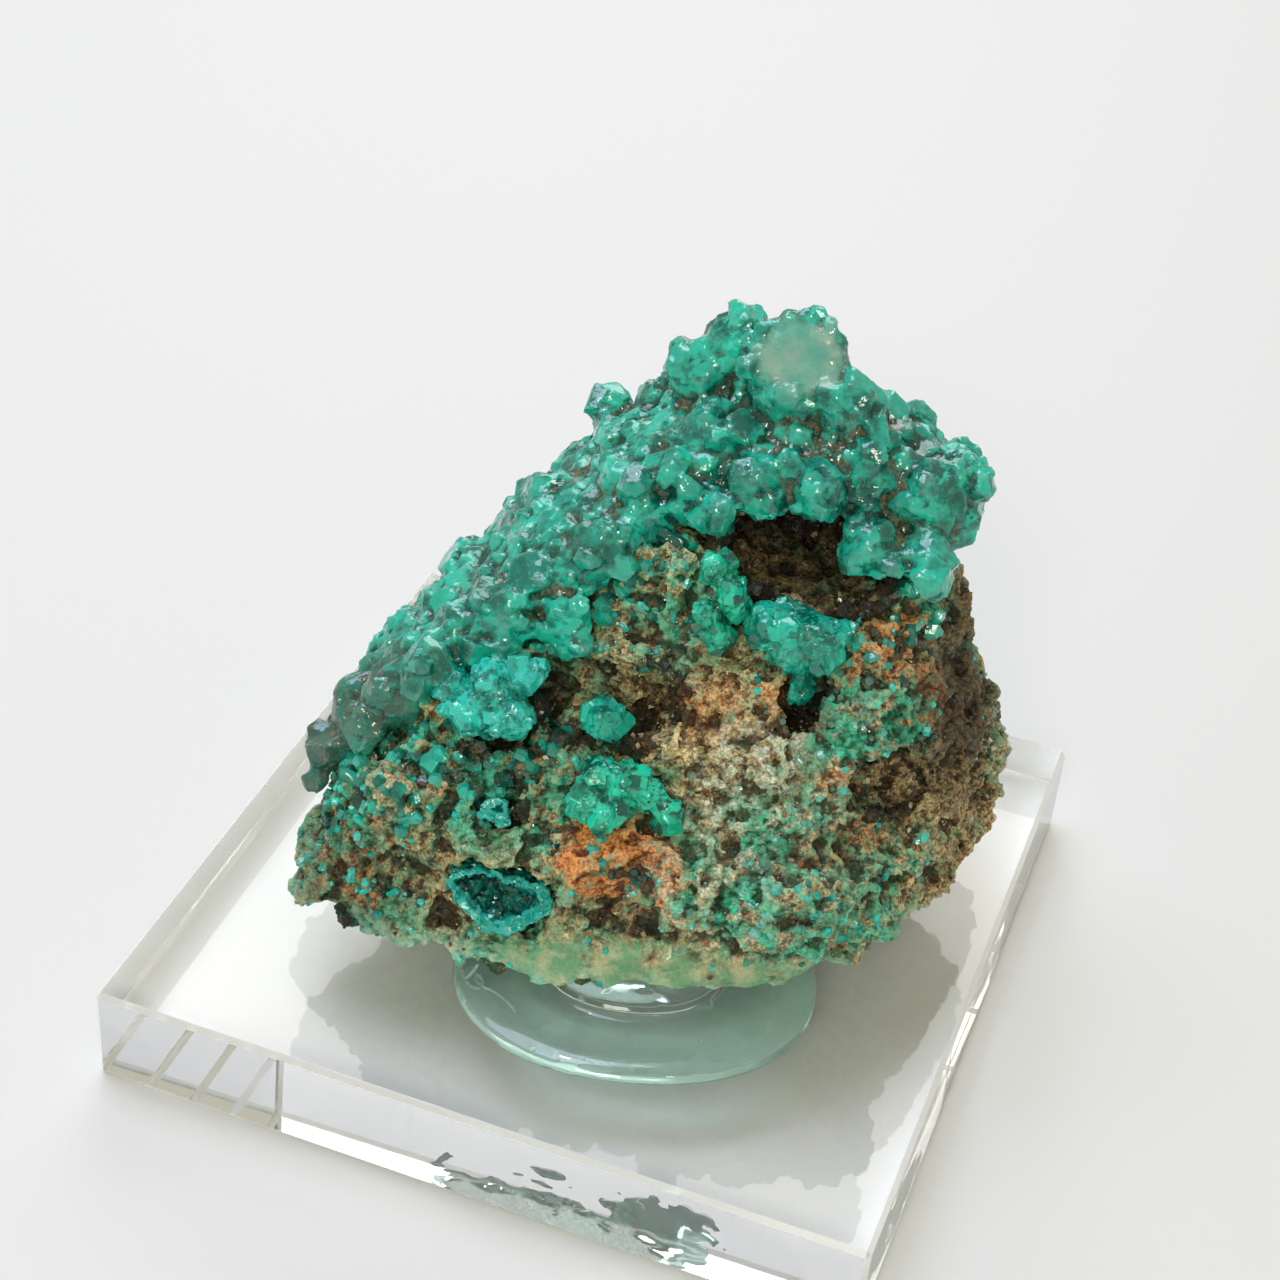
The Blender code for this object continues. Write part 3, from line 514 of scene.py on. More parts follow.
def clump(piece, name, source, grain_size, level):
    """Break an amount up into clumps of a given size, in millimetres."""
    field = [noise.noise(Vector(place) / grain_size) for place in vertex_places(piece)]
    share = np.clip((np.array(field) - level) * 8.0, 0.0, 1.0)
    store(piece, name, values_of(piece, source) * share)


rock = copy_of_node("matrix_rock", "matrix")
voxels = rock.modifiers.new("voxels", "REMESH")
voxels.mode = "VOXEL"
voxels.voxel_size = ROCK_VOXEL * MM
apply_modifier(rock, voxels)
paint(rock, "glued", GLUED_PATCHES)
glued = 0.9 * np.clip(values_of(rock, "glued"), 0.0, 1.0)
paint(rock, "bulge", BULGES)
crumble(rock, ROCK_FOLDS, ROCK_PITS, values_of(rock, "bulge"), glued)
for chips in ROCK_CHIPS:
    chip(rock, *chips, spare=glued)
paint(rock, "rust", RUST_PATCHES)
paint(rock, "pale", PALE_PATCHES)
paint(rock, "gold", GOLD_PATCHES)
# The dark amount is painted shade, taken from the shade patches.
paint(rock, "dark", SHADE_PATCHES)
paint(rock, "green", GREEN_PATCHES)
paint(rock, "sprouts", SPROUTING)
clump(rock, "green_clumps", "green", *GREEN_CLUMPS)
store(rock, "green_clumps", values_of(rock, "green_clumps") * (1.0 - np.clip(values_of(rock, "glued"), 0.0, 1.0)))
covered = 0.9 * values_of(rock, "green") + values_of(rock, "dark") + values_of(rock, "glued")
store(rock, "bare", np.clip(1.0 - covered, 0.0, 1.0))
store_ridges(rock, "ridge", 5)
store_ridges(rock, "hollow", 50)
heights = vertex_places(rock)[:, 2]
store(rock, "underside", np.clip((UNDERSIDE_HEIGHT - heights) / 1.5, 0.0, 1.0))
deselect_all()
rock.select_set(True)
bpy.context.view_layer.objects.active = rock
bpy.ops.object.shade_smooth_by_angle(angle=math.radians(30.0))


class Shading:
    """A material under construction, on object coordinates in millimetres."""

    def __init__(self, name):
        self.material, self.tree, self.shader = plain_material(name)
        coordinates = self.add("ShaderNodeTexCoord")
        scaled = self.add("ShaderNodeVectorMath", operation="SCALE")
        scaled.inputs["Scale"].default_value = 1000.0
        self.link(coordinates.outputs["Object"], scaled.inputs[0])
        self.place = scaled.outputs["Vector"]

    def add(self, kind, **settings):
        node = self.tree.nodes.new(kind)
        for key, value in settings.items():
            setattr(node, key, value)
        return node

    def link(self, source, target):
        self.tree.links.new(source, target)

    def noise(self, per_mm, detail=4.0, roughness=0.55):
        node = self.add("ShaderNodeTexNoise")
        node.inputs["Scale"].default_value = per_mm
        node.inputs["Detail"].default_value = detail
        node.inputs["Roughness"].default_value = roughness
        self.link(self.place, node.inputs["Vector"])
        return node.outputs["Fac"]

    def cells(self, per_mm, output="Distance"):
        node = self.add("ShaderNodeTexVoronoi")
        node.inputs["Scale"].default_value = per_mm
        self.link(self.place, node.inputs["Vector"])
        return node.outputs[output]

    def attribute(self, name):
        return self.add("ShaderNodeAttribute", attribute_name=name).outputs["Fac"]

    def span(self, value, low, high, to_low=0.0, to_high=1.0):
        node = self.add("ShaderNodeMapRange")
        node.inputs["From Min"].default_value = low
        node.inputs["From Max"].default_value = high
        node.inputs["To Min"].default_value = to_low
        node.inputs["To Max"].default_value = to_high
        self.link(value, node.inputs["Value"])
        return node.outputs["Result"]

    def maths(self, operation, first, second):
        node = self.add("ShaderNodeMath", operation=operation, use_clamp=True)
        for socket, value in zip(node.inputs, (first, second)):
            if isinstance(value, float):
                socket.default_value = value
            else:
                self.link(value, socket)
        return node.outputs["Value"]

    def blend(self, share, first, second):
        node = self.add("ShaderNodeMix", data_type="RGBA")
        self.link(share, node.inputs["Factor"])
        colour_a = [s for s in node.inputs if s.type == "RGBA"][0]
        colour_b = [s for s in node.inputs if s.type == "RGBA"][1]
        for socket, value in ((colour_a, first), (colour_b, second)):
            if isinstance(value, tuple):
                socket.default_value = (*value, 1.0)
            else:
                self.link(value, socket)
        return [s for s in node.outputs if s.type == "RGBA"][0]

    def facets(self, per_mm, tilt, height, depth_mm):
        """Small flat facets that each look their own way, with a little bump on top."""
        node = self.add("ShaderNodeTexVoronoi")
        node.inputs["Scale"].default_value = per_mm
        self.link(self.place, node.inputs["Vector"])
        centred = self.add("ShaderNodeVectorMath", operation="SUBTRACT")
        centred.inputs[1].default_value = (0.5, 0.5, 0.5)
        self.link(node.outputs["Color"], centred.inputs[0])
        leaned = self.add("ShaderNodeVectorMath", operation="SCALE")
        self.link(self.span(self.noise(0.4, 3.0), 0.42, 0.58, 0.2 * tilt, tilt), leaned.inputs["Scale"])
        self.link(centred.outputs["Vector"], leaned.inputs[0])
        total = self.add("ShaderNodeVectorMath", operation="ADD")
        self.link(self.add("ShaderNodeNewGeometry").outputs["Normal"], total.inputs[0])
        self.link(leaned.outputs["Vector"], total.inputs[1])
        unit = self.add("ShaderNodeVectorMath", operation="NORMALIZE")
        self.link(total.outputs["Vector"], unit.inputs[0])
        bump = self.add("ShaderNodeBump")
        bump.inputs["Distance"].default_value = depth_mm * MM
        bump.inputs["Strength"].default_value = 0.6
        self.link(height, bump.inputs["Height"])
        self.link(unit.outputs["Vector"], bump.inputs["Normal"])
        self.link(bump.outputs["Normal"], self.shader.inputs["Normal"])

    def bump(self, height, depth_mm, strength=1.0):
        node = self.add("ShaderNodeBump")
        node.inputs["Distance"].default_value = depth_mm * MM
        node.inputs["Strength"].default_value = strength
        self.link(height, node.inputs["Height"])
        self.link(node.outputs["Normal"], self.shader.inputs["Normal"])


stone = Shading("limonite")
ridge = stone.attribute("ridge")
speckle = stone.span(stone.noise(2.2, 4.0, 0.75), 0.40, 0.60)
fine = stone.span(stone.noise(5.5, 2.0, 0.7), 0.42, 0.58)
broad = stone.span(stone.noise(0.30, 3.0), 0.38, 0.62)
golden = stone.blend(fine, (0.34, 0.21, 0.07), (1.0, 0.80, 0.40))
brown = stone.blend(fine, (0.03, 0.02, 0.01), (0.34, 0.23, 0.10))
golden_share = stone.maths("MAXIMUM", stone.span(broad, 0.0, 1.0, 0.2, 0.8), stone.attribute("gold"))
colour = stone.blend(stone.maths("MULTIPLY", speckle, golden_share), brown, golden)
rust = stone.maths("MULTIPLY", stone.attribute("rust"), stone.span(stone.noise(1.1), 0.30, 0.50))
colour = stone.blend(rust, colour, stone.blend(fine, (0.36, 0.08, 0.012), (0.90, 0.34, 0.08)))
pale = stone.maths("MULTIPLY", stone.attribute("pale"), stone.span(stone.noise(1.7, 5.0), 0.44, 0.54))
colour = stone.blend(pale, colour, stone.blend(fine, (0.36, 0.42, 0.27), (0.88, 0.92, 0.76)))
green = stone.maths("MULTIPLY", stone.attribute("green"), stone.span(stone.noise(0.9, 4.0, 0.7), 0.44, 0.52))
green = stone.maths("MULTIPLY", green, stone.span(stone.attribute("rust"), 0.3, 1.0, 1.0, 0.1))
verdigris = stone.blend(speckle, (0.005, 0.14, 0.08), (0.05, 0.64, 0.38))
verdigris = stone.blend(stone.span(stone.noise(1.9, 5.0, 0.7), 0.55, 0.66, 0.0, 0.8), verdigris, (0.30, 0.78, 0.56))
colour = stone.blend(green, colour, verdigris)
stains = stone.span(stone.noise(0.55, 5.0, 0.75), 0.54, 0.60, 0.0, 0.7)
colour = stone.blend(stains, colour, stone.blend(speckle, (0.02, 0.14, 0.07), (0.13, 0.42, 0.25)))
# Painted highlight: ridges of the matrix are painted pale gold, or pale green where the matrix is green.
colour = stone.blend(stone.span(ridge, 0.04, 0.14, 0.0, 0.28), colour, stone.blend(green, (0.90, 0.74, 0.40), (0.12, 0.80, 0.60)))
# Painted bounce light: the underside is painted bright teal and pale green, its teal colour brightened for light from
# below.
colour = stone.blend(stone.attribute("underside"), colour, stone.blend(speckle, (0.08, 0.66, 0.54), (0.66, 0.78, 0.56)))
glaze = stone.blend(stone.span(stone.noise(0.8, 5.0), 0.42, 0.60), (0.13, 0.36, 0.17), (0.54, 0.56, 0.31))
colour = stone.blend(stone.maths("MULTIPLY", stone.attribute("glued"), 0.85), colour, glaze)
# Painted shade: creases, hollows and the shade patches multiply the matrix colour darker.
shadowed = stone.blend(stone.span(ridge, -0.02, -0.12), (1.0, 1.0, 1.0), (0.26, 0.21, 0.14))
hollow_shade = stone.blend(stone.span(stone.attribute("hollow"), -0.20, -0.80), (1.0, 1.0, 1.0), (0.18, 0.15, 0.09))
patch_shade = stone.blend(stone.attribute("dark"), (1.0, 1.0, 1.0), (0.24, 0.20, 0.15))
for dark in (shadowed, hollow_shade, patch_shade):
    shade = stone.add("ShaderNodeMix", data_type="RGBA", blend_type="MULTIPLY")
    shade.inputs["Factor"].default_value = 1.0
    first, second = [socket for socket in shade.inputs if socket.type == "RGBA"]
    stone.link(colour, first)
    stone.link(dark, second)
    colour = [socket for socket in shade.outputs if socket.type == "RGBA"][0]
stone.link(colour, stone.shader.inputs["Base Color"])
stone.link(stone.span(stone.cells(5.0, "Color"), 0.25, 0.55, 0.22, 0.85), stone.shader.inputs["Roughness"])
stone.link(stone.attribute("glued"), stone.shader.inputs["Coat Weight"])
stone.shader.inputs["Specular IOR Level"].default_value = 0.6
stone.facets(4.5, 0.7, stone.noise(6.0, 2.0, 0.7), 0.15)
rock.data.materials.append(stone.material)
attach(rock, "root")
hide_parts("matrix_rock")

# Dioptase crystals are short six-sided prisms under a three-faced point, glassy and deep
# green. Four of them are modelled, and everything that glitters on the rock is strewn from them.
CRYSTAL_POINT_SLOPE = math.radians(44.0)
CRYSTAL_FORMS = [(0.50, 1.3, 0.0), (0.62, 1.1, 0.4), (0.42, 1.7, 0.2), (0.55, 0.9, 0.8)]
crystal_forms = bpy.data.collections.new("crystal_forms")
bpy.context.scene.collection.children.link(crystal_forms)


def model_crystal(name, radius, length, lean):
    """A prism of unit scale in millimetres, bisected to a point of three faces."""
    deselect_all()
    bpy.ops.mesh.primitive_cylinder_add(vertices=6, radius=radius * MM, depth=length * MM)
    crystal = bpy.context.object
    crystal.name = name
    bpy.ops.object.mode_set(mode="EDIT")
    for side_number in range(3):
        turn = math.radians(120.0 * side_number) + lean
        slope = CRYSTAL_POINT_SLOPE + 0.18 * lean * math.cos(2.0 * side_number)
        normal = (
            math.cos(turn) * math.sin(slope), math.sin(turn) * math.sin(slope), math.cos(slope)
        )
        bpy.ops.mesh.select_all(action="SELECT")
        bpy.ops.mesh.bisect(
            plane_co=(0.0, 0.0, length * MM / 2), plane_no=normal, use_fill=True,
            clear_outer=True, threshold=0.0000001,
        )
    bpy.ops.mesh.select_all(action="SELECT")
    bpy.ops.mesh.normals_make_consistent(inside=False)
    bpy.ops.object.mode_set(mode="OBJECT")
    bpy.context.collection.objects.unlink(crystal)
    crystal_forms.objects.link(crystal)
    return crystal


for number, form in enumerate(CRYSTAL_FORMS):
    model_crystal("crystal_form_%d" % number, *form)


def strew(host, name, forms_from, per_square_mm, amount, sizes, tilt, seed):
    """Strew forms over a host piece where its named amount is high, as one joined mesh."""
    group = bpy.data.node_groups.new(name, "GeometryNodeTree")
    group.interface.new_socket("Geometry", in_out="INPUT", socket_type="NodeSocketGeometry")
    group.interface.new_socket("Geometry", in_out="OUTPUT", socket_type="NodeSocketGeometry")
    nodes, links = group.nodes, group.links
    source = nodes.new("NodeGroupInput")
    result = nodes.new("NodeGroupOutput")
    where = nodes.new("GeometryNodeInputNamedAttribute")
    where.data_type = "FLOAT"
    where.inputs["Name"].default_value = amount
    density = nodes.new("ShaderNodeMath")
    density.operation = "MULTIPLY"
    density.inputs[1].default_value = per_square_mm / (MM * MM)
    links.new(where.outputs["Attribute"], density.inputs[0])
    points = nodes.new("GeometryNodeDistributePointsOnFaces")
    points.inputs["Seed"].default_value = seed
    links.new(source.outputs["Geometry"], points.inputs["Mesh"])
    links.new(density.outputs[0], points.inputs["Density"])
    forms = nodes.new("GeometryNodeCollectionInfo")
    forms.inputs["Collection"].default_value = forms_from
    forms.inputs["Separate Children"].default_value = True
    forms.inputs["Reset Children"].default_value = True
    jitter = nodes.new("FunctionNodeRandomValue")
    jitter.data_type = "FLOAT_VECTOR"
    jitter.inputs["Min"].default_value = (-tilt, -tilt, -math.pi)
    jitter.inputs["Max"].default_value = (tilt, tilt, math.pi)
    jitter.inputs["Seed"].default_value = seed + 1
    turn = nodes.new("FunctionNodeEulerToRotation")
    links.new(jitter.outputs[0], turn.inputs["Euler"])
    face = nodes.new("FunctionNodeRotateRotation")
    face.rotation_space = "LOCAL"
    links.new(points.outputs["Rotation"], face.inputs["Rotation"])
    links.new(turn.outputs["Rotation"], face.inputs["Rotate By"])
    scale = nodes.new("FunctionNodeRandomValue")
    scale.data_type = "FLOAT"
    scale.inputs["Seed"].default_value = seed + 2
    place = nodes.new("GeometryNodeInstanceOnPoints")
    place.inputs["Pick Instance"].default_value = True
    links.new(points.outputs["Points"], place.inputs["Points"])
    links.new(forms.outputs["Instances"], place.inputs["Instance"])
    links.new(face.outputs["Rotation"], place.inputs["Rotation"])
    rarer = nodes.new("ShaderNodeMath")
    rarer.operation = "POWER"
    rarer.inputs[1].default_value = 2.5
    spread = nodes.new("ShaderNodeMapRange")
    spread.inputs["To Min"].default_value = sizes[0]
    spread.inputs["To Max"].default_value = sizes[1]
    links.new(scale.outputs[1], rarer.inputs[0])
    links.new(rarer.outputs[0], spread.inputs["Value"])
    links.new(spread.outputs["Result"], place.inputs["Scale"])
    tint = nodes.new("FunctionNodeRandomValue")
    tint.data_type = "FLOAT"
    tint.inputs["Seed"].default_value = seed + 3
    keep = nodes.new("GeometryNodeStoreNamedAttribute")
    keep.data_type = "FLOAT"
    keep.domain = "INSTANCE"
    keep.inputs["Name"].default_value = "tint"
    links.new(place.outputs["Instances"], keep.inputs["Geometry"])
    links.new(tint.outputs[1], keep.inputs["Value"])
    real = nodes.new("GeometryNodeRealizeInstances")
    links.new(keep.outputs["Geometry"], real.inputs["Geometry"])
    links.new(real.outputs["Geometry"], result.inputs["Geometry"])
    piece = host.copy()
    piece.data = host.data.copy()
    piece.name = name
    bpy.context.collection.objects.link(piece)
    deselect_all()
    piece.select_set(True)
    modifier = piece.modifiers.new("strew", "NODES")
    modifier.node_group = group
    apply_modifier(piece, modifier)
    piece.data.materials.clear()
    return piece


def crystal_material(name, deep, clear, veil, per_mm=0.4, clearness=0.55, rimmed=False):
    """Glassy green: light that enters is coloured on its way, and veils are milky; ridges carry a painted highlight,
    and creases and hollows a painted shade.
    """
    glass = Shading(name)
    body = glass.span(glass.noise(per_mm, 4.0, 0.65), 0.40, 0.60)
    tint = glass.blend(body, deep, clear)
    tint = glass.blend(glass.span(glass.attribute("tint"), 0.55, 1.0, 0.0, 0.9), tint, clear)
    tint = glass.blend(glass.span(glass.attribute("tint"), 0.35, 0.0, 0.0, 0.9), tint, deep)
    milky = glass.maths("MULTIPLY", glass.span(glass.noise(1.1, 4.0, 0.7), 0.54, 0.72), veil)
    tint = glass.blend(milky, tint, (0.30, 0.92, 0.75))
    # Painted highlight: ridges are painted a pale turquoise. Painted shade: creases and hollows are painted a nearly
    # black green.
    edge = glass.span(glass.attribute("ridge"), 0.05, 0.16, 0.0, 0.5)
    tint = glass.blend(edge, tint, (0.22, 0.85, 0.70))
    tint = glass.blend(glass.span(glass.attribute("ridge"), -0.02, -0.09, 0.0, 0.85), tint, (0.001, 0.05, 0.035))
    tint = glass.blend(glass.span(glass.attribute("hollow"), -0.06, -0.45, 0.0, 0.8), tint, (0.0, 0.04, 0.03))
    dust = glass.blend(glass.span(glass.noise(5.0, 3.0), 0.42, 0.58), (0.07, 0.06, 0.03), (0.30, 0.24, 0.12))
    dusty = glass.maths("MULTIPLY", glass.span(glass.noise(0.22, 2.0), 0.44, 0.54), glass.span(glass.noise(1.8, 5.0), 0.42, 0.55))
    dusty = glass.maths("MULTIPLY", dusty, glass.span(glass.attribute("hollow"), -0.02, -0.22))
    tint = glass.blend(dusty, tint, dust)
    face = glass.blend(glass.span(glass.noise(0.45, 4.0), 0.40, 0.60), (0.20, 0.72, 0.58), (0.66, 0.82, 0.66))
    tint = glass.blend(glass.attribute("pale"), tint, face)
    muddy = glass.blend(glass.span(glass.noise(1.6, 3.0, 0.7), 0.40, 0.56), (0.02, 0.24, 0.20), (0.17, 0.12, 0.07))
    tint = glass.blend(glass.maths("MULTIPLY", glass.attribute("dusky"), 0.85), tint, muddy)
    if rimmed:
        tint = glass.blend(glass.attribute("rim"), tint, (0.04, 0.80, 0.68))
    glass.link(tint, glass.shader.inputs["Base Color"])
    glass.shader.inputs["Transmission Weight"].default_value = clearness
    glass.shader.inputs["IOR"].default_value = 1.66
    glass.link(glass.span(glass.noise(1.5, 2.0), 0.45, 0.75, 0.02, 0.25), glass.shader.inputs["Roughness"])
    absorb = glass.add("ShaderNodeVolumeAbsorption")
    absorb.inputs["Color"].default_value = (0.02, 0.85, 0.75, 1.0)
    absorb.inputs["Density"].default_value = 260.0
    glass.link(absorb.outputs["Volume"], glass.tree.nodes["Material Output"].inputs["Volume"])
    glass.facets(2.0, 0.50, glass.noise(3.0, 2.0, 0.6), 0.05)
    return glass.material


# The crust over the crest and back is one mass of intergrown crystals, broken along flat
# faces. It starts from the node's own solid, is softened, and is grown over with crystals, coarse ones and then fine
# ones.
CRUST_VOXEL = 0.30
CRUST_GROWTH = [(0.26, (1.3, 2.5), 0.70, 14), (0.90, (0.65, 1.6), 0.95, 21)]
CRUST_SKIN = 0.19
CRYSTAL_SINK = 0.18
CRYSTAL_SQUAT = 0.75
DUSKY_PATCHES = [
    ((-14.3, -7.0, 14.0), 4.0, 1.0), ((-11.6, -6.6, 17.0), 2.6, 0.9), ((-10.4, -7.7, 18.4), 1.8, 0.8),
]
CLEAVAGE = ((4.9, 6.5, 34.2), (0.10, -0.62, 0.78))
# The outline of that pale face, in its own plane, and how softly it ends.
CLEAVAGE_CORNERS = [
    (-2.2, -0.8), (-0.2, -2.3), (0.9, -1.6), (2.2, -0.8), (2.3, 0.8), (1.4, 2.1), (-0.5, 2.7),
    (-1.7, 2.2), (-1.9, 0.9), (-2.6, 0.6),
]
CLEAVAGE_FADE = 0.5
CLEAVAGE_RAGGED = 0.35

green_glass = crystal_material("green_crystal", (0.003, 0.20, 0.155), (0.03, 1.0, 0.76), 0.45)


def voxelled(piece, voxel_size, soften_times):
    """Give a piece an even, fine mesh and round it off a little."""
    voxels = piece.modifiers.new("voxels", "REMESH")
    voxels.mode = "VOXEL"
    voxels.voxel_size = voxel_size * MM
    apply_modifier(piece, voxels)
    if soften_times:
        soften = piece.modifiers.new("soften", "SMOOTH")
        soften.iterations = soften_times
        apply_modifier(piece, soften)


def sharpen(piece, degrees):
    deselect_all()
    piece.select_set(True)
    bpy.context.view_layer.objects.active = piece
    bpy.ops.object.shade_smooth_by_angle(angle=math.radians(degrees))


sunk_forms = bpy.data.collections.new("sunk_forms")
bpy.context.scene.collection.children.link(sunk_forms)
for form in crystal_forms.objects:
    sunk = form.copy()
    sunk.data = form.data.copy()
    sunk_forms.objects.link(sunk)
    highest = max(vertex.co.z for vertex in sunk.data.vertices)
    for vertex in sunk.data.vertices:
        vertex.co.z = (vertex.co.z - highest) * CRYSTAL_SQUAT + CRYSTAL_SINK * MM


def grow_crystals(piece, growths, skin):
    """Grow a skin over with crystals that stand half sunk in it, fused into one closed surface.

    Each growth has a number per square millimetre, the smallest and largest size, a tilt and
    a seed.
    """
    crystals = []
    for number, (per_square_mm, sizes, tilt, seed) in enumerate(growths):
        name = "%s_crystals_%d" % (piece.name, number)
        crystals.append(strew(piece, name, sunk_forms, per_square_mm, "grown", sizes, tilt, seed))
    pale_places = kdtree.KDTree(len(piece.data.vertices))
    for index, vertex in enumerate(piece.data.vertices):
        pale_places.insert(vertex.co, index)
    pale_places.balance()
    bare = values_of(piece, "pale")
    deselect_all()
    for grown in crystals:
        grown.select_set(True)
    piece.select_set(True)
    bpy.context.view_layer.objects.active = piece
    bpy.ops.object.join()
    faces = bvhtree.BVHTree.FromPolygons(
        [vertex.co for vertex in piece.data.vertices], [face.vertices[:] for face in piece.data.polygons],
    )
    shades = np.random.default_rng(seed).uniform(0.0, 1.0, len(piece.data.polygons))
    voxelled(piece, skin, 0)
    tints = []
    pale = []
    for vertex in piece.data.vertices:
        place, _, face, _ = faces.find_nearest(vertex.co)
        tints.append(shades[face])
        vertex.co = place
        pale.append(bare[pale_places.find(place)[1]])
    piece.data.update()
    store(piece, "tint", tints)
    store(piece, "pale", pale)


def inside_outline(places, corners, fade):
    """1 well inside a closed outline of corners, 0 outside, with a soft border."""
    x, y = places
    inside = np.zeros(len(x), dtype=bool)
    nearest = np.full(len(x), 1000.0)
    for (x0, y0), (x1, y1) in zip(corners, corners[1:] + corners[:1]):
        crosses = (y0 > y) != (y1 > y)
        inside ^= crosses & (x < (x1 - x0) * (y - y0) / (y1 - y0 + 1e-9) + x0)
        share = np.clip(((x - x0) * (x1 - x0) + (y - y0) * (y1 - y0)) / ((x1 - x0) ** 2 + (y1 - y0) ** 2), 0.0, 1.0)
        nearest = np.minimum(nearest, np.hypot(x - x0 - share * (x1 - x0), y - y0 - share * (y1 - y0)))
    return inside * np.clip(nearest / fade, 0.0, 1.0)


crust = copy_of_node("crystal_crust", "crust")
voxelled(crust, CRUST_VOXEL, 2)
places = vertex_places(crust)
middle, way = np.array(CLEAVAGE[0]), np.array(Vector(CLEAVAGE[1]).normalized())
along_face = np.cross((0.0, 0.0, 1.0), way)
along_face /= np.linalg.norm(along_face)
ragged = np.array([noise.noise_vector(Vector(place) * 0.9) for place in places]) * CLEAVAGE_RAGGED
from_middle = places - middle + ragged
across = from_middle @ along_face, from_middle @ np.cross(way, along_face)
off_plane = np.abs((places - middle) @ way)
on_face = np.clip((0.45 - off_plane) / 0.2, 0.0, 1.0) * inside_outline(across, CLEAVAGE_CORNERS, CLEAVAGE_FADE)
wide_corners = [(0.9 * u, 0.9 * v) for u, v in CLEAVAGE_CORNERS]
store(crust, "grown", 1.0 - np.clip((2.0 - off_plane) / 0.5, 0.0, 1.0) * inside_outline(across, wide_corners, 0.01))
store(crust, "pale", on_face)
grow_crystals(crust, CRUST_GROWTH, CRUST_SKIN)
paint(crust, "dusky", DUSKY_PATCHES)
store_ridges(crust, "ridge", 6)
store_ridges(crust, "hollow", 60)
sharpen(crust, 25.0)
crust.data.materials.append(green_glass)
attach(crust, "root")
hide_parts("crystal_crust")

# The clusters stand alone on the face. Each starts from its node's solid too, and is grown over
# with finer crystals, so that no crystal stays round.
CLUSTER_VOXEL = 0.15
CLUSTER_GROWTH = [(0.7, (0.9, 1.5), 0.6, 12), (3.2, (0.35, 0.9), 0.9, 22)]
CLUSTER_SKIN = 0.08
turquoise_glass = crystal_material("turquoise_crystal", (0.0, 0.26, 0.22), (0.05, 0.95, 0.80), 0.6, 0.9, 0.35)
emerald_glass = crystal_material("emerald_crystal", (0.0, 0.13, 0.085), (0.02, 0.95, 0.62), 0.25, 0.9, 0.35)
CLUSTERS = {
    "left_knob_cluster": (turquoise_glass, "turquoise_crystal"),
    "centre_knob_crystal": (green_glass, "green_crystal"),
    "right_knob_crystal": (green_glass, "green_crystal"),
    "emerald_cluster": (emerald_glass, "emerald_crystal"),
    "blade_crystals": (emerald_glass, "emerald_crystal"),
}
for node, (glass, slot) in CLUSTERS.items():
    cluster = copy_of_node(node, node + "_cut")
    voxelled(cluster, CLUSTER_VOXEL, 2)
    store(cluster, "grown", np.ones(len(cluster.data.vertices)))
    store(cluster, "pale", np.zeros(len(cluster.data.vertices)))
    grow_crystals(cluster, CLUSTER_GROWTH, CLUSTER_SKIN)
    store_ridges(cluster, "ridge", 6)
    store_ridges(cluster, "hollow", 60)
    sharpen(cluster, 25.0)
    cluster.data.materials.append(glass)
    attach(cluster, "root")
    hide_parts(node)

# Two small hollows are lined with dark radiating crystals under a thin, bright rim.
HOLLOWS = {
    "rimmed_pocket": ((-2.2, -11.3, 11.5), 0.5),
    "rimmed_vug": ((-3.2, -9.7, 15.2), 0.4),
}
FACE_NORMAL = np.array((0.24, -0.76, 0.60))
RIM_WIDTH = 0.55
HOLLOW_VOXEL = 0.08
HOLLOW_CHIPS = [(0.7, 0.35, 0.22, 7), (0.35, 0.35, 0.10, 8)]
rim_glass = crystal_material("rimmed_turquoise", (0.0, 0.20, 0.17), (0.01, 0.46, 0.38), 0.3, rimmed=True)
for node, (middle, proud) in HOLLOWS.items():
    lining = copy_of_node(node, node + "_lining")
    voxelled(lining, HOLLOW_VOXEL, 2)
    height = (vertex_places(lining) - np.array(middle)) @ (FACE_NORMAL / np.linalg.norm(FACE_NORMAL))
    store(lining, "rim", np.clip((height - proud + RIM_WIDTH) / (RIM_WIDTH * 0.6), 0.0, 1.0))
    for chips in HOLLOW_CHIPS:
        chip(lining, *chips)
    store_ridges(lining, "ridge", 6)
    store_ridges(lining, "hollow", 60)
    sharpen(lining, 25.0)
    lining.data.materials.append(rim_glass)
    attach(lining, "root")
    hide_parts(node)

# Fine green crystals, mostly under half a millimetre, sparkle in clumps over the matrix.
grains = strew(rock, "green_grains", crystal_forms, 5.0, "green_clumps", (0.10, 0.45), 0.9, 31)
grains.data.materials.append(turquoise_glass)
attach(grains, "root")

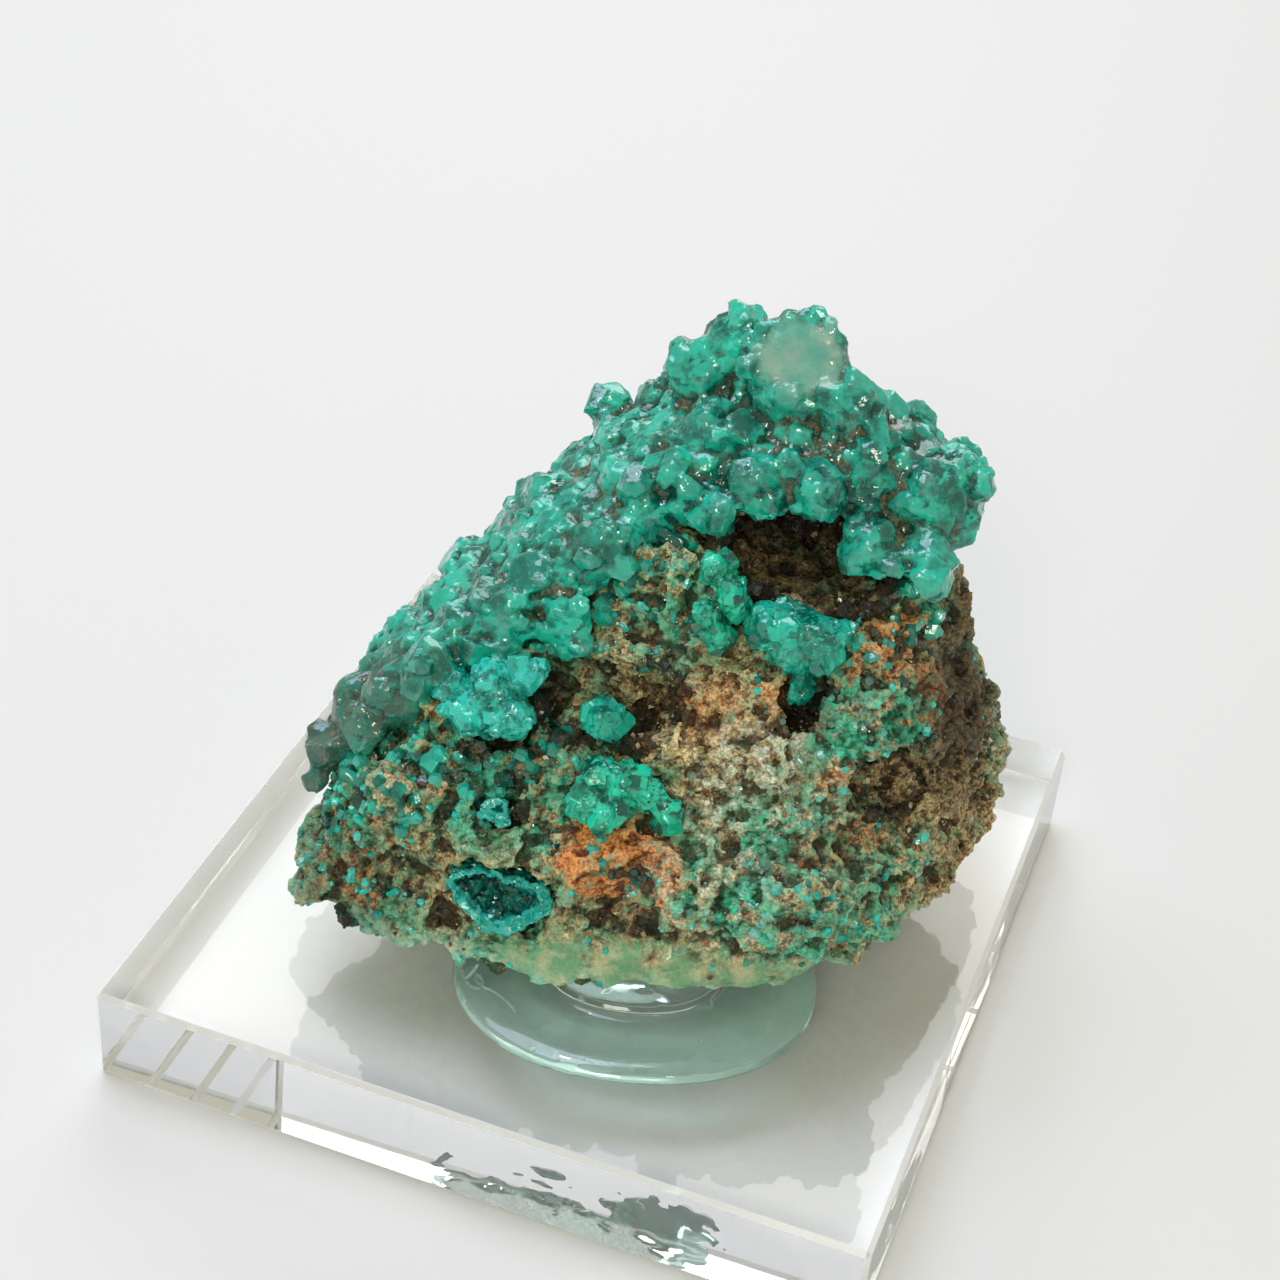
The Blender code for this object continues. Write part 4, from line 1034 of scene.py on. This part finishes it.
sprouts = strew(rock, "sprouting_crystals", crystal_forms, 2.2, "sprouts", (0.30, 0.95), 0.6, 35)
sprouts.data.materials.append(green_glass)
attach(sprouts, "root")

# The matrix is crumbly: angular brown and golden granules sit all over it.
granule_forms = bpy.data.collections.new("granule_forms")
bpy.context.scene.collection.children.link(granule_forms)
for number, (lean, stretch) in enumerate([(0.3, (1.0, 0.8, 0.7)), (0.9, (1.3, 0.8, 0.7)), (1.6, (0.9, 1.1, 0.5))]):
    deselect_all()
    bpy.ops.mesh.primitive_cube_add(size=1.6 * MM, scale=stretch)
    granule = bpy.context.object
    granule.name = "granule_form_%d" % number
    bpy.ops.object.transform_apply(location=False, rotation=False, scale=True)
    bpy.ops.object.mode_set(mode="EDIT")
    for turn in (lean, lean + 2.2, lean + 4.1):
        bpy.ops.mesh.select_all(action="SELECT")
        bpy.ops.mesh.bisect(
            plane_co=(0.45 * MM * math.cos(turn), 0.45 * MM * math.sin(turn), 0.25 * MM),
            plane_no=(math.cos(turn), math.sin(turn), 0.7), use_fill=True, clear_outer=True,
            threshold=0.0000001,
        )
    bpy.ops.object.mode_set(mode="OBJECT")
    bpy.context.collection.objects.unlink(granule)
    granule_forms.objects.link(granule)
granules = strew(rock, "granules", granule_forms, 2.4, "bare", (0.06, 0.22), 1.5, 41)
gold = Shading("golden_granules")
tone = gold.attribute("tint")
shade = gold.blend(gold.span(tone, 0.0, 0.6), (0.05, 0.03, 0.012), (0.40, 0.29, 0.12))
shade = gold.blend(gold.span(tone, 0.72, 0.95), shade, (0.80, 0.72, 0.48))
shade = gold.blend(gold.span(gold.noise(0.9), 0.50, 0.56), shade, (0.30, 0.42, 0.26))
gold.link(gold.blend(gold.span(gold.noise(0.5), 0.54, 0.62), shade, (0.30, 0.09, 0.02)), gold.shader.inputs["Base Color"])
gold.link(gold.span(tone, 0.0, 1.0, 0.75, 0.25), gold.shader.inputs["Roughness"])
gold.bump(gold.noise(9.0), 0.08)
granules.data.materials.append(gold.material)
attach(granules, "root")

for form in list(crystal_forms.objects) + list(sunk_forms.objects) + list(granule_forms.objects):
    bpy.data.objects.remove(form, do_unlink=True)
